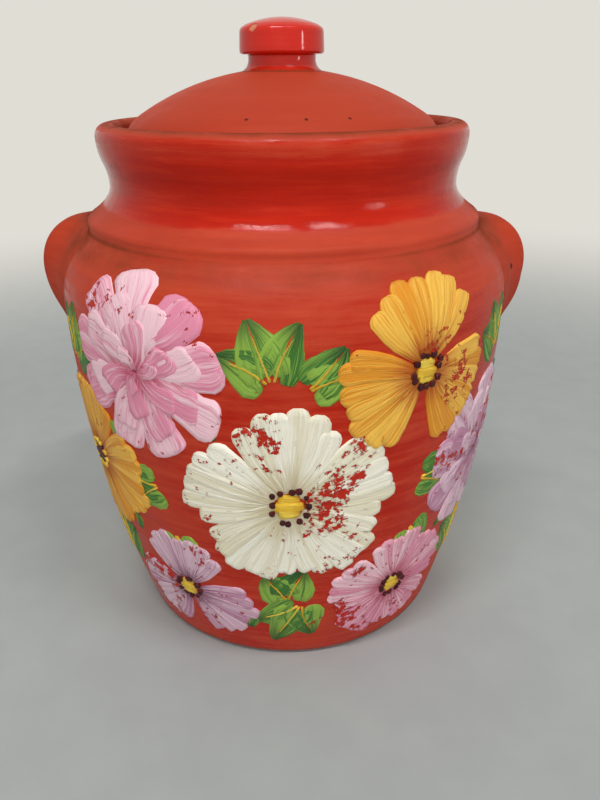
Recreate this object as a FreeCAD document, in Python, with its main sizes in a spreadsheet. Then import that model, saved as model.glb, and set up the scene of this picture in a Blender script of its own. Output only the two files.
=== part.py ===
"""Lidded stoneware jar: flared neck, two lug handles, and a domed lid that drops into a gallery in the rim.

Frame: +Z up, origin on the jar's axis at the plane that the foot stands on, lugs along X. Millimetres.
"""

import FreeCAD
import Part
import math
import os
import Sketcher

# Driving dimensions: alias, value in millimetres, what it measures.
DIMENSIONS = [
    ("belly_radius", 93.2, "widest part of the wall"),
    ("belly_height", 148.0, "foot plane up to the widest part"),
    ("foot_inset", 21.5, "how far the wall is drawn in from belly to foot"),
    ("foot_round", 4.0, "rounding of the foot's outer edge"),
    ("foot_ring_width", 12.0, "flat ring that the jar stands on, with its rounded edge"),
    ("foot_recess", 2.0, "depth of the recess inside the foot ring"),
    ("shoulder_rise", 26.0, "belly up to the crease under the collar"),
    ("shoulder_inset", 13.0, "how far the collar's rolled edge is drawn in from the belly"),
    ("collar_step", 1.2, "how far the rolled edge stands out over the crease"),
    ("collar_roll", 2.6, "radius of the rolled edge"),
    ("neck_rise", 16.0, "crease up to the narrowest part of the neck"),
    ("neck_inset", 10.0, "how far the neck is drawn in from the rolled edge"),
    ("neck_curve", 8.4, "hollow curve from the collar into the neck"),
    ("rim_rise", 16.5, "narrowest part of the neck up to the rim's upright band"),
    ("rim_flare", 3.4, "how far the rim stands out over the neck"),
    ("rim_band", 5.5, "height of the rim's upright band"),
    ("rim_thickness", 8.1, "rim from its outside to the gallery wall"),
    ("rim_outer_round", 4.2, "rounding of the rim's outer edge"),
    ("rim_inner_round", 2.6, "rounding of the rim's inner edge"),
    ("wall", 7.0, "thickness of the jar's wall"),
    ("floor_thickness", 9.0, "foot plane up to the floor inside"),
    ("floor_round", 12.0, "hollow corner between floor and wall"),
    ("gallery_depth", 13.0, "rim crest down to the ledge that carries the lid"),
    ("gallery_round", 1.5, "hollow corner of the gallery"),
    ("ledge_width", 8.0, "ledge that carries the lid, from gallery wall to mouth"),
    ("ledge_thickness", 7.0, "thickness of the ledge at the mouth"),
    ("ledge_round", 1.2, "rounding of the ledge's edges"),
    ("lid_clearance", 2.0, "gap all round between lid and gallery wall"),
    ("lid_wall", 6.5, "thickness of the lid's dome"),
    ("lid_edge_height", 2.0, "upright edge of the lid above its seat"),
    ("lid_edge_curve", 16.0, "curve from the lid's edge into the dome"),
    ("lid_edge_round", 1.0, "rounding of the lid's lower edge"),
    ("lid_ring_width", 6.8, "flat ring under the lid that sits on the ledge"),
    ("dome_radius", 105.0, "radius of the lid's dome"),
    ("knob_foot_radius", 15.6, "foot of the knob and the flat for it on the crown"),
    ("knob_neck_radius", 13.1, "waist under the knob's cap"),
    ("knob_neck_height", 5.8, "crown to the underside of the knob's cap"),
    ("knob_foot_edge", 0.6, "upright edge of the knob's foot"),
    ("knob_cap_radius", 16.4, "lower edge of the knob's cap"),
    ("knob_cap_draft", 0.25, "how much the cap narrows towards its top"),
    ("knob_cap_height", 9.2, "side of the knob's cap"),
    ("knob_cap_crown", 3.6, "rise of the cap's domed top"),
    ("knob_top_round", 2.4, "rounding of the cap's upper edge"),
    ("knob_under_round", 1.2, "rounding of the cap's lower edge"),
    ("knob_spigot_radius", 8.0, "spigot that keys the knob into the lid's crown"),
    ("knob_spigot_length", 2.8, "length of the spigot"),
    ("lute_gap", 0.2, "slip between the spigot and its socket"),
    ("lug_radius", 24.5, "outline of a lug handle"),
    ("lug_reach", 10.8, "how far a lug stands out past the belly"),
    ("lug_rise", 3.0, "belly up to a lug's centre"),
    ("lug_thickness", 19.0, "thickness of a lug, front to back"),
    ("lug_round", 7.0, "rounding of a lug's edges"),
    ("paint_height", 0.8, "how far the flowers' thick paint stands proud of the wall"),
    ("paint_margin", 4.0, "bare wall kept above the foot and under the crease"),
    ("upper_flowers", 136.0, "foot plane up to the upper row of flowers"),
    ("middle_flowers", 88.0, "foot plane up to the middle row"),
    ("lower_flowers", 36.0, "foot plane up to the lower row"),
    ("large_flower", 42.0, "heart to petal tip of the flowers at front and back"),
    ("flower", 35.0, "heart to petal tip of the flowers beside them"),
    ("small_flower", 31.0, "heart to petal tip of the flowers low on the wall"),
    ("side_flower", 27.0, "heart to petal tip of the flowers under the lugs"),
]

doc = FreeCAD.newDocument("lidded_jar")
sheet = doc.addObject("Spreadsheet::Sheet", "Dims")
for row, (alias, size, meaning) in enumerate(DIMENSIONS, start=1):
    sheet.set(f"A{row}", meaning)
    sheet.set(f"B{row}", str(size))
    sheet.setAlias(f"B{row}", alias)
doc.recompute()

# Places that several pieces share, as expressions on the sheet.
FOOT = "(Dims.belly_radius - Dims.foot_inset)"
FLOOR = f"({FOOT} - Dims.wall)"
COLLAR = "(Dims.belly_radius - Dims.shoulder_inset)"
CREASE_HEIGHT = "(Dims.belly_height + Dims.shoulder_rise)"
CREASE = f"({COLLAR} - Dims.collar_step)"
CREASE_INSET = f"(Dims.belly_radius - {CREASE})"
SHOULDER_CURVE = f"(({CREASE_INSET}^2 + Dims.shoulder_rise^2) / (2 * {CREASE_INSET}))"
NECK = f"({COLLAR} - Dims.neck_inset)"
NECK_HEIGHT = f"({CREASE_HEIGHT} + Dims.neck_rise)"
NECK_INSIDE = f"({NECK} - Dims.wall)"
RIM = f"({NECK} + Dims.rim_flare)"
BAND_HEIGHT = f"({NECK_HEIGHT} + Dims.rim_rise)"
RIM_HEIGHT = f"({BAND_HEIGHT} + Dims.rim_band)"
GALLERY = f"({RIM} - Dims.rim_thickness)"
SEAT = f"({RIM_HEIGHT} - Dims.gallery_depth)"
MOUTH = f"({GALLERY} - Dims.ledge_width)"
LEDGE_UNDER = f"({SEAT} - Dims.ledge_thickness)"
LID = f"({GALLERY} - Dims.lid_clearance)"
LID_RING = f"({LID} - Dims.lid_ring_width)"
LID_EDGE = f"({SEAT} + Dims.lid_edge_height)"
LID_EDGE_CENTRE = f"({LID} - Dims.lid_edge_curve)"
DOME_CENTRE = f"({LID_EDGE} - sqrt((Dims.dome_radius - Dims.lid_edge_curve)^2 - {LID_EDGE_CENTRE}^2))"
CROWN = f"({DOME_CENTRE} + sqrt(Dims.dome_radius^2 - Dims.knob_foot_radius^2))"
CAP_UNDER = f"({CROWN} + Dims.knob_neck_height)"
CAP_SHOULDER = f"({CAP_UNDER} + Dims.knob_cap_height)"
CAP_TOP = "(Dims.knob_cap_radius - Dims.knob_cap_draft)"
LUG_CENTRE = "(Dims.belly_radius + Dims.lug_reach - Dims.lug_radius)"
LUG_HEIGHT = "(Dims.belly_height + Dims.lug_rise)"
FOOT_SWEEP = "((Dims.foot_inset^2 + Dims.belly_height^2) / (2 * Dims.foot_inset))"
PAINT_TOP = f"({CREASE_HEIGHT} - Dims.paint_margin)"
FULL_TURN = 360.0
TOLERANCE = 1e-4

# Painted flowers of one half turn, repeated on the other: petals, degrees from the front, row, size.
FLOWERS = [
    (5, 0.0, "middle_flowers", "large_flower"),
    (9, -34.0, "upper_flowers", "flower"),
    (3, 31.0, "upper_flowers", "flower"),
    (4, -59.0, "middle_flowers", "flower"),
    (9, 59.0, "middle_flowers", "flower"),
    (3, -31.0, "lower_flowers", "small_flower"),
    (5, 31.0, "lower_flowers", "small_flower"),
    (5, 90.0, "middle_flowers", "side_flower"),
    (4, 90.0, "lower_flowers", "small_flower"),
]
CUSP_DEPTH = 1.4


def value(expression):
    """The number that an expression on the sheet stands for."""
    return float(sheet.evalExpression(str(expression)))


def on_circle(centre, radius, angle):
    """The point of a circle at an angle."""
    return (centre[0] + radius * math.cos(angle), centre[1] + radius * math.sin(angle))


class Profile:
    """A closed outline in a sketch, drawn corner by corner as lines and arcs and then tied to the sheet."""

    START, END, CENTRE = range(1, 4)
    ORIGIN = (-1, START)

    def __init__(self, body, name, plane="XZ_Plane"):
        self.sketch = body.newObject("Sketcher::SketchObject", name)
        support = next(f for f in body.Origin.OriginFeatures if f.Role == plane)
        self.sketch.AttachmentSupport = [(support, "")]
        self.sketch.MapMode = "FlatFace"
        self.ends = []

    def line(self, start, end):
        """Adds a straight run."""
        edge = Part.LineSegment(FreeCAD.Vector(*start, 0), FreeCAD.Vector(*end, 0))
        number = self.sketch.addGeometry(edge, False)
        self.ends.append((number, self.START, self.END))
        return number

    def arc(self, centre, start, end, turns_left):
        """Adds an arc. Stored arcs run anticlockwise, so one that turns right is stored from its end."""
        angles = [math.atan2(p[1] - centre[1], p[0] - centre[0]) for p in (start, end)]
        radius = math.dist(centre, start)
        circle = Part.Circle(FreeCAD.Vector(*centre, 0), FreeCAD.Vector(0, 0, 1), radius)
        first, last = angles if turns_left else angles[::-1]
        number = self.sketch.addGeometry(Part.ArcOfCircle(circle, first, last), False)
        order = (self.START, self.END) if turns_left else (self.END, self.START)
        self.ends.append((number, *order))
        return number

    def close(self, smooth_after=()):
        """Joins each run to the next and the last to the first, smoothly after a listed run."""
        for (number, _, end), (following, start, _) in zip(self.ends, self.ends[1:] + self.ends[:1]):
            kind = "Tangent" if number in smooth_after else "Coincident"
            self.tie(kind, number, end, following, start)

    def first(self, number):
        """The point where a run begins, in drawing order."""
        return next((n, start) for n, start, _ in self.ends if n == number)

    def last(self, number):
        """The point where a run ends, in drawing order."""
        return next((n, end) for n, _, end in self.ends if n == number)

    def tie(self, kind, *where, size=None):
        """Adds a constraint, and binds its value to the sheet where it has one."""
        if size is None:
            self.sketch.addConstraint(Sketcher.Constraint(kind, *where))
            return
        number = self.sketch.addConstraint(Sketcher.Constraint(kind, *where, value(size)))
        self.sketch.setExpression(f"Constraints[{number}]", str(size))

    def across(self, point, size):
        """Ties a point's distance from the axis."""
        self.tie("DistanceX", *self.ORIGIN, *point, size=size)

    def up(self, point, size):
        """Ties a point's height."""
        self.tie("DistanceY", *self.ORIGIN, *point, size=size)

    def level(self, *numbers):
        """Makes straight runs level."""
        for number in numbers:
            self.tie("Horizontal", number)

    def upright(self, *numbers):
        """Makes straight runs upright."""
        for number in numbers:
            self.tie("Vertical", number)

    def upright_at(self, number, point):
        """An arc's centre level with one of its ends: the outline is upright there."""
        self.tie("Horizontal", number, self.CENTRE, *point)

    def on_axis(self, point):
        """Holds a point on the axis of revolution, which a sketch numbers -2."""
        self.tie("PointOnObject", *point, -2)


def new_body(label):
    """An empty body whose label names its file."""
    body = doc.addObject("PartDesign::Body", label)
    body.Label = label
    return body


def turned(body, kind, name, profile):
    """A full turn of a profile about the vertical axis: a Revolution adds it, a Groove cuts it."""
    before = body.Shape.Volume if kind == "Groove" else 0.0
    feature = body.newObject(f"PartDesign::{kind}", name)
    feature.Profile = profile.sketch
    feature.ReferenceAxis = (profile.sketch, ["V_Axis"])
    feature.Angle = FULL_TURN
    doc.recompute()
    if kind == "Groove" and feature.Shape.Volume >= before:
        raise RuntimeError(f"{name} cut nothing")
    return feature


def ring_edge(shape, radius, height):
    """Name of the circular edge about the vertical axis with this radius at this height."""
    for number, edge in enumerate(shape.Edges, start=1):
        curve = None if edge.Degenerated else edge.Curve
        if not isinstance(curve, Part.Circle) or abs(curve.Center.z - height) > TOLERANCE:
            continue
        off_axis = math.hypot(curve.Center.x, curve.Center.y)
        if abs(curve.Radius - radius) < TOLERANCE and off_axis < TOLERANCE:
            return f"Edge{number}"
    raise RuntimeError(f"no ring edge of radius {radius:.3f} at height {height:.3f}")


def rounded(body, name, size, edges):
    """Rounds edges of the body's last feature."""
    base = body.Tip
    fillet = body.newObject("PartDesign::Fillet", name)
    fillet.Base = (base, edges)
    fillet.Radius = value(size)
    fillet.setExpression("Radius", str(size))
    doc.recompute()
    return fillet


def ring_rounded(body, name, size, radius, height):
    """Rounds one circular edge about the axis, found by its place."""
    return rounded(body, name, size, [ring_edge(body.Shape, value(radius), value(height))])


def jar_outline(body, name):
    """Outside of the jar as a filled half section: along the foot, up the wall and back along the top."""
    foot = (value(FOOT), 0.0)
    belly = (value("Dims.belly_radius"), value("Dims.belly_height"))
    crease = (value(CREASE), value(CREASE_HEIGHT))
    neck = (value(NECK), value(NECK_HEIGHT))
    rim = (value(RIM), value(BAND_HEIGHT))
    top = value(RIM_HEIGHT)

    # The wall is one long arc, upright at the belly.
    inset = belly[0] - foot[0]
    sweep = (inset**2 + belly[1] ** 2) / (2 * inset)
    wall_centre = (belly[0] - sweep, belly[1])
    shoulder_centre = (belly[0] - value(SHOULDER_CURVE), belly[1])
    # The collar's slope is the line that touches both its rolled edge and the hollow of the neck.
    roll, curve = value("Dims.collar_roll"), value("Dims.neck_curve")
    roll_in = value(f"{COLLAR} - Dims.collar_roll")
    roll_centre = (roll_in, crease[1] + math.sqrt(roll**2 - (crease[0] - roll_in) ** 2))
    neck_centre = (neck[0] + curve, neck[1])
    bearing = math.atan2(neck_centre[1] - roll_centre[1], neck_centre[0] - roll_centre[0])
    lean = bearing - math.acos((roll + curve) / math.dist(roll_centre, neck_centre))
    slope_start = on_circle(roll_centre, roll, lean)
    slope_end = on_circle(neck_centre, curve, lean + math.pi)
    # From neck to rim, a hollow and a round arc of one radius.
    out, rise = rim[0] - neck[0], rim[1] - neck[1]
    flare = (out**2 + rise**2) / (4 * out)
    halfway = ((neck[0] + rim[0]) / 2, (neck[1] + rim[1]) / 2)

    p = Profile(body, name)
    base = p.line((0, 0), foot)
    wall = p.arc(wall_centre, foot, belly, True)
    shoulder = p.arc(shoulder_centre, belly, crease, True)
    rolled_edge = p.arc(roll_centre, crease, slope_start, True)
    slope = p.line(slope_start, slope_end)
    hollow = p.arc(neck_centre, slope_end, neck, False)
    flare_in = p.arc((neck[0] + flare, neck[1]), neck, halfway, False)
    flare_out = p.arc((rim[0] - flare, rim[1]), halfway, rim, True)
    band = p.line(rim, (rim[0], top))
    crest = p.line((rim[0], top), (0, top))
    axis = p.line((0, top), (0, 0))
    p.close(smooth_after=(rolled_edge, slope, flare_in))
    p.tie("Coincident", *p.first(base), *p.ORIGIN)
    p.level(base, crest)
    p.upright(band, axis)
    p.across(p.last(base), FOOT)
    p.across(p.last(wall), "Dims.belly_radius")
    p.up(p.last(wall), "Dims.belly_height")
    p.upright_at(wall, p.last(wall))
    p.upright_at(shoulder, p.first(shoulder))
    p.across(p.last(shoulder), CREASE)
    p.up(p.last(shoulder), CREASE_HEIGHT)
    p.tie("Radius", rolled_edge, size="Dims.collar_roll")
    p.across((rolled_edge, Profile.CENTRE), f"{COLLAR} - Dims.collar_roll")
    p.tie("Radius", hollow, size="Dims.neck_curve")
    p.across(p.last(hollow), NECK)
    p.up(p.last(hollow), NECK_HEIGHT)
    p.upright_at(hollow, p.last(hollow))
    p.upright_at(flare_in, p.first(flare_in))
    p.tie("Equal", flare_in, flare_out)
    p.across(p.last(flare_out), RIM)
    p.up(p.last(flare_out), BAND_HEIGHT)
    p.upright_at(flare_out, p.last(flare_out))
    p.up(p.last(band), RIM_HEIGHT)
    return p


def jar_hollow(body):
    """Inside of the jar as a half section: floor, wall, shoulder, neck, ledge for the lid, gallery."""
    floor_corner = (value(FLOOR), value("Dims.floor_thickness"))
    belly = (value("Dims.belly_radius - Dims.wall"), value("Dims.belly_height"))
    neck_bottom = (value(NECK_INSIDE), value(f"{NECK_HEIGHT} - Dims.neck_curve"))
    seat = value(SEAT)
    mouth = value(MOUTH)
    under_ledge = value(LEDGE_UNDER)
    neck_top = (neck_bottom[0], under_ledge - (neck_bottom[0] - mouth))
    gallery = value(GALLERY)
    above = value(f"{RIM_HEIGHT} + Dims.wall")

    inset, rise = belly[0] - floor_corner[0], belly[1] - floor_corner[1]
    sweep = (inset**2 + rise**2) / (2 * inset)
    curve = value(f"{SHOULDER_CURVE} - Dims.wall")
    shoulder_centre = (belly[0] - curve, belly[1])
    reach = math.dist(neck_bottom, shoulder_centre)
    bearing = math.atan2(neck_bottom[1] - shoulder_centre[1], neck_bottom[0] - shoulder_centre[0])
    touch = bearing - math.acos(curve / reach)
    slope_start = on_circle(shoulder_centre, curve, touch)

    p = Profile(body, "hollow_section")
    floor = p.line((0, floor_corner[1]), floor_corner)
    wall = p.arc((belly[0] - sweep, belly[1]), floor_corner, belly, True)
    shoulder = p.arc(shoulder_centre, belly, slope_start, True)
    slope = p.line(slope_start, neck_bottom)
    neck = p.line(neck_bottom, neck_top)
    ledge_under = p.line(neck_top, (mouth, under_ledge))
    lip = p.line((mouth, under_ledge), (mouth, seat))
    ledge = p.line((mouth, seat), (gallery, seat))
    gallery_wall = p.line((gallery, seat), (gallery, above))
    top = p.line((gallery, above), (0, above))
    axis = p.line((0, above), (0, floor_corner[1]))
    p.close(smooth_after=(shoulder,))
    p.level(floor, ledge, top)
    p.upright(neck, lip, gallery_wall, axis)
    p.on_axis(p.first(floor))
    p.across(p.last(floor), FLOOR)
    p.up(p.last(floor), "Dims.floor_thickness")
    p.across(p.last(wall), "Dims.belly_radius - Dims.wall")
    p.up(p.last(wall), "Dims.belly_height")
    p.upright_at(wall, p.last(wall))
    p.upright_at(shoulder, p.first(shoulder))
    p.tie("Radius", shoulder, size=f"{SHOULDER_CURVE} - Dims.wall")
    p.across(p.last(slope), NECK_INSIDE)
    p.up(p.last(slope), f"{NECK_HEIGHT} - Dims.neck_curve")
    p.up(p.last(neck), f"{LEDGE_UNDER} - ({NECK_INSIDE} - {MOUTH})")
    p.across(p.last(ledge_under), MOUTH)
    p.up(p.last(ledge_under), LEDGE_UNDER)
    p.up(p.last(lip), SEAT)
    p.across(p.last(ledge), GALLERY)
    p.up(p.last(gallery_wall), f"{RIM_HEIGHT} + Dims.wall")
    return p


def foot_recess(body):
    """Shallow round recess under the jar, which leaves a flat ring to stand on."""
    radius, depth = value(f"{FOOT} - Dims.foot_ring_width"), value("Dims.foot_recess")
    p = Profile(body, "foot_recess_section")
    base = p.line((0, 0), (radius, 0))
    side = p.line((radius, 0), (radius, depth))
    roof = p.line((radius, depth), (0, depth))
    axis = p.line((0, depth), (0, 0))
    p.close()
    p.tie("Coincident", *p.first(base), *p.ORIGIN)
    p.level(base, roof)
    p.upright(side, axis)
    p.across(p.last(base), f"{FOOT} - Dims.foot_ring_width")
    p.up(p.last(side), "Dims.foot_recess")
    return p


def make_jar():
    """The jar: a turned blank, hollowed out, with a gallery for the lid and a foot ring."""
    body = new_body("jar_body")
    turned(body, "Revolution", "jar_blank", jar_outline(body, "jar_section"))
    ring_rounded(body, "foot_edge", "Dims.foot_round", FOOT, 0)
    turned(body, "Groove", "hollow", jar_hollow(body))
    turned(body, "Groove", "foot_recess", foot_recess(body))
    ring_rounded(body, "rim_outer_edge", "Dims.rim_outer_round", RIM, RIM_HEIGHT)
    ring_rounded(body, "rim_inner_edge", "Dims.rim_inner_round", GALLERY, RIM_HEIGHT)
    ring_rounded(body, "gallery_corner", "Dims.gallery_round", GALLERY, SEAT)
    ring_rounded(body, "ledge_edge", "Dims.ledge_round", MOUTH, SEAT)
    ring_rounded(body, "ledge_under_edge", "Dims.ledge_round", MOUTH, LEDGE_UNDER)
    ring_rounded(body, "floor_corner", "Dims.floor_round", FLOOR, "Dims.floor_thickness")
    return body


def make_lug(label, side):
    """A lug handle: a thick disc with rounded edges, cut to the wall so that its whole root seats on it."""
    body = new_body(label)
    outline = Profile(body, "lug_outline")
    centre = FreeCAD.Vector(side * value(LUG_CENTRE), value(LUG_HEIGHT), 0)
    rim = Part.Circle(centre, FreeCAD.Vector(0, 0, 1), value("Dims.lug_radius"))
    circle = outline.sketch.addGeometry(rim, False)
    points = [outline.ORIGIN, (circle, Profile.CENTRE)]
    near, far = points if side > 0 else points[::-1]
    outline.tie("DistanceX", *near, *far, size=LUG_CENTRE)
    outline.up((circle, Profile.CENTRE), LUG_HEIGHT)
    outline.tie("Radius", circle, size="Dims.lug_radius")
    disc = body.newObject("PartDesign::Pad", "lug_disc")
    disc.Profile = outline.sketch
    disc.Midplane = True
    disc.Length = value("Dims.lug_thickness")
    disc.setExpression("Length", "Dims.lug_thickness")
    doc.recompute()
    rims = [f"Edge{n}" for n, e in enumerate(disc.Shape.Edges, start=1) if isinstance(e.Curve, Part.Circle)]
    rounded(body, "lug_edges", "Dims.lug_round", rims)
    turned(body, "Groove", "root_on_wall", jar_outline(body, "wall_section"))
    return body


def make_lid():
    """The lid: a domed shell with a flat ring that sits on the ledge, and a socket for the knob."""
    seat, edge = value(SEAT), value(LID_EDGE)
    radius, curve = value(LID), value("Dims.lid_edge_curve")
    dome, inner_dome = value("Dims.dome_radius"), value("Dims.dome_radius - Dims.lid_wall")
    centre = (0, value(DOME_CENTRE))
    edge_centre = (radius - curve, edge)
    lean = math.atan2(edge_centre[1] - centre[1], edge_centre[0])
    dome_end = (dome * math.cos(lean), centre[1] + dome * math.sin(lean))
    crown = (value("Dims.knob_foot_radius"), value(CROWN))
    ring_inside = value(LID_RING)
    ring_top = (ring_inside, centre[1] + math.sqrt(inner_dome**2 - ring_inside**2))
    under_crown = (0, centre[1] + inner_dome)

    body = new_body("lid")
    p = Profile(body, "lid_section")
    ceiling = p.arc(centre, under_crown, ring_top, False)
    ring_wall = p.line(ring_top, (ring_inside, seat))
    ring = p.line((ring_inside, seat), (radius, seat))
    side = p.line((radius, seat), (radius, edge))
    edge_arc = p.arc(edge_centre, (radius, edge), dome_end, True)
    dome_arc = p.arc(centre, dome_end, crown, True)
    flat = p.line(crown, (0, crown[1]))
    axis = p.line((0, crown[1]), under_crown)
    p.close(smooth_after=(edge_arc,))
    p.upright(ring_wall, side, axis)
    p.level(ring, flat)
    p.on_axis(p.first(ceiling))
    p.on_axis((ceiling, Profile.CENTRE))
    p.tie("Coincident", ceiling, Profile.CENTRE, dome_arc, Profile.CENTRE)
    p.tie("Radius", ceiling, size="Dims.dome_radius - Dims.lid_wall")
    p.tie("Radius", dome_arc, size="Dims.dome_radius")
    p.tie("Radius", edge_arc, size="Dims.lid_edge_curve")
    p.across(p.first(ring), LID_RING)
    p.up(p.first(ring), SEAT)
    p.across(p.last(ring), LID)
    p.up(p.last(side), LID_EDGE)
    p.upright_at(edge_arc, p.first(edge_arc))
    p.across(p.last(dome_arc), "Dims.knob_foot_radius")
    turned(body, "Revolution", "dome", p)

    socket_radius = "(Dims.knob_spigot_radius + Dims.lute_gap)"
    socket_floor = f"({CROWN} - Dims.knob_spigot_length - Dims.lute_gap)"
    top, bottom, wide = value(CROWN), value(socket_floor), value(socket_radius)
    s = Profile(body, "socket_section")
    base = s.line((0, bottom), (wide, bottom))
    wall = s.line((wide, bottom), (wide, top))
    mouth = s.line((wide, top), (0, top))
    middle = s.line((0, top), (0, bottom))
    s.close()
    s.on_axis(s.first(base))
    s.level(base, mouth)
    s.upright(wall, middle)
    s.across(s.last(base), socket_radius)
    s.up(s.last(base), socket_floor)
    s.up(s.last(wall), CROWN)
    turned(body, "Groove", "knob_socket", s)
    ring_rounded(body, "lid_lower_edge", "Dims.lid_edge_round", LID, SEAT)
    return body


def make_knob():
    """The knob: a mushroom cap on a waisted neck, with a spigot that keys into the lid's crown."""
    crown, under, shoulder = value(CROWN), value(CAP_UNDER), value(CAP_SHOULDER)
    foot, neck = value("Dims.knob_foot_radius"), value("Dims.knob_neck_radius")
    cap, cap_top = value("Dims.knob_cap_radius"), value(CAP_TOP)
    spigot, spigot_end = value("Dims.knob_spigot_radius"), value(f"{CROWN} - Dims.knob_spigot_length")
    apex = shoulder + value("Dims.knob_cap_crown")
    foot_edge = crown + value("Dims.knob_foot_edge")
    waist = foot - neck
    neck_start = foot_edge + waist
    top_curve = (cap_top**2 + (apex - shoulder) ** 2) / (2 * (apex - shoulder))

    body = new_body("lid_knob")
    p = Profile(body, "knob_section")
    spigot_base = p.line((0, spigot_end), (spigot, spigot_end))
    spigot_side = p.line((spigot, spigot_end), (spigot, crown))
    seat = p.line((spigot, crown), (foot, crown))
    foot_side = p.line((foot, crown), (foot, foot_edge))
    flare = p.arc((foot, neck_start), (foot, foot_edge), (neck, neck_start), False)
    neck_side = p.line((neck, neck_start), (neck, under))
    underside = p.line((neck, under), (cap, under))
    cap_side = p.line((cap, under), (cap_top, shoulder))
    top = p.arc((0, apex - top_curve), (cap_top, shoulder), (0, apex), True)
    axis = p.line((0, apex), (0, spigot_end))
    p.close()
    p.on_axis(p.first(spigot_base))
    p.level(spigot_base, seat, underside)
    p.upright(spigot_side, foot_side, neck_side, axis)
    p.across(p.last(spigot_base), "Dims.knob_spigot_radius")
    p.up(p.last(spigot_base), f"{CROWN} - Dims.knob_spigot_length")
    p.up(p.last(spigot_side), CROWN)
    p.across(p.last(seat), "Dims.knob_foot_radius")
    p.up(p.last(foot_side), f"{CROWN} + Dims.knob_foot_edge")
    p.tie("Vertical", flare, Profile.CENTRE, *p.first(flare))
    p.upright_at(flare, p.last(flare))
    p.across(p.last(flare), "Dims.knob_neck_radius")
    p.up(p.last(neck_side), CAP_UNDER)
    p.across(p.last(underside), "Dims.knob_cap_radius")
    p.across(p.last(cap_side), CAP_TOP)
    p.up(p.last(cap_side), CAP_SHOULDER)
    p.on_axis((top, Profile.CENTRE))
    p.up(p.last(top), f"{CAP_SHOULDER} + Dims.knob_cap_crown")
    turned(body, "Revolution", "knob_solid", p)
    ring_rounded(body, "cap_upper_edge", "Dims.knob_top_round", CAP_TOP, CAP_SHOULDER)
    ring_rounded(body, "cap_lower_edge", "Dims.knob_under_round", "Dims.knob_cap_radius", CAP_UNDER)
    return body


def paint_shell():
    """A thin shell on the wall from foot to crease, as thick as the flowers' paint."""
    body = new_body("paint_shell")
    belly = (value("Dims.belly_radius"), value("Dims.belly_height"))
    low, top, proud = value("Dims.paint_margin"), value(PAINT_TOP), value("Dims.paint_height")
    sweep, curve = value(FOOT_SWEEP), value(SHOULDER_CURVE)
    wall_centre, shoulder_centre = (belly[0] - sweep, belly[1]), (belly[0] - curve, belly[1])

    def at_height(centre, radius, height):
        return (centre[0] + math.sqrt(radius**2 - (height - centre[1]) ** 2), height)

    wall_low, paint_low = (at_height(wall_centre, sweep + t, low) for t in (0.0, proud))
    shoulder_top, paint_top = (at_height(shoulder_centre, curve + t, top) for t in (0.0, proud))
    paint_belly = (belly[0] + proud, belly[1])
    p = Profile(body, "paint_section")
    under = p.line(wall_low, paint_low)
    wall = p.arc(wall_centre, paint_low, paint_belly, True)
    shoulder = p.arc(shoulder_centre, paint_belly, paint_top, True)
    over = p.line(paint_top, shoulder_top)
    shoulder_back = p.arc(shoulder_centre, shoulder_top, belly, False)
    wall_back = p.arc(wall_centre, belly, wall_low, False)
    p.close()
    p.level(under, over)
    p.up(p.first(wall), "Dims.paint_margin")
    p.up(p.last(shoulder), PAINT_TOP)
    for arc, end, across, radius in (
        (wall, p.last(wall), "Dims.belly_radius + Dims.paint_height", f"{FOOT_SWEEP} + Dims.paint_height"),
        (wall_back, p.first(wall_back), "Dims.belly_radius", FOOT_SWEEP),
    ):
        p.across(end, across)
        p.up(end, "Dims.belly_height")
        p.upright_at(arc, end)
        p.tie("Radius", arc, size=radius)
    for arc, end, radius in (
        (shoulder, p.first(shoulder), f"{SHOULDER_CURVE} + Dims.paint_height"),
        (shoulder_back, p.last(shoulder_back), SHOULDER_CURVE),
    ):
        p.upright_at(arc, end)
        p.tie("Radius", arc, size=radius)
    turned(body, "Revolution", "paint_turned", p)
    return body


def flower_prism(petals, size):
    """A straight prism from the axis out through the front, its outline one round arc to each petal.

    The cusps between petals cut the deeper the fewer petals there are.
    """
    step = 2 * math.pi / petals
    first = math.pi / 2 - step / 2
    cusp = size * (1 - CUSP_DEPTH / petals)

    def point(radius, angle):
        return FreeCAD.Vector(radius * math.cos(angle), 0, radius * math.sin(angle))

    scallops = [
        Part.Arc(point(cusp, a), point(size, a + step / 2), point(cusp, a + step)).toShape()
        for a in (first + k * step for k in range(petals))
    ]
    return Part.Face(Part.Wire(scallops)).extrude(FreeCAD.Vector(0, -2 * value("Dims.belly_radius"), 0))


def make_flowers():
    """Raised paint of the flowers: patches of the paint shell, overlapping ones run together."""
    shell = paint_shell().Shape
    patches = []
    for half_turn in (0.0, FULL_TURN / 2):
        for petals, degrees, row, size in FLOWERS:
            prism = flower_prism(petals, value(f"Dims.{size}"))
            prism.translate(FreeCAD.Vector(0, 0, value(f"Dims.{row}")))
            prism.rotate(FreeCAD.Vector(), FreeCAD.Vector(0, 0, 1), degrees + half_turn)
            patches.append(shell.common(prism))
    flowers = doc.addObject("Part::Feature", "painted_flowers")
    flowers.Label = "painted_flowers"
    flowers.Shape = patches[0].multiFuse(patches[1:])
    return flowers


def check(pieces):
    """Stops if a feature failed or a piece is not valid; only the flowers are more than one solid."""
    doc.recompute()
    for item in doc.Objects:
        if {"Invalid", "Error"} & set(item.State):
            raise RuntimeError(f"{item.Label} failed: {item.State}")
        if item.TypeId == "Sketcher::SketchObject" and item.solve() != 0:
            raise RuntimeError(f"{item.Label} has no solution")
    for piece in pieces:
        shape = piece.Shape
        if shape.isNull() or not shape.isValid():
            raise RuntimeError(f"{piece.Label} is not valid")
        if len(shape.Solids) != 1 and piece.Label != "painted_flowers":
            raise RuntimeError(f"{piece.Label} is not one solid")


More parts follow.
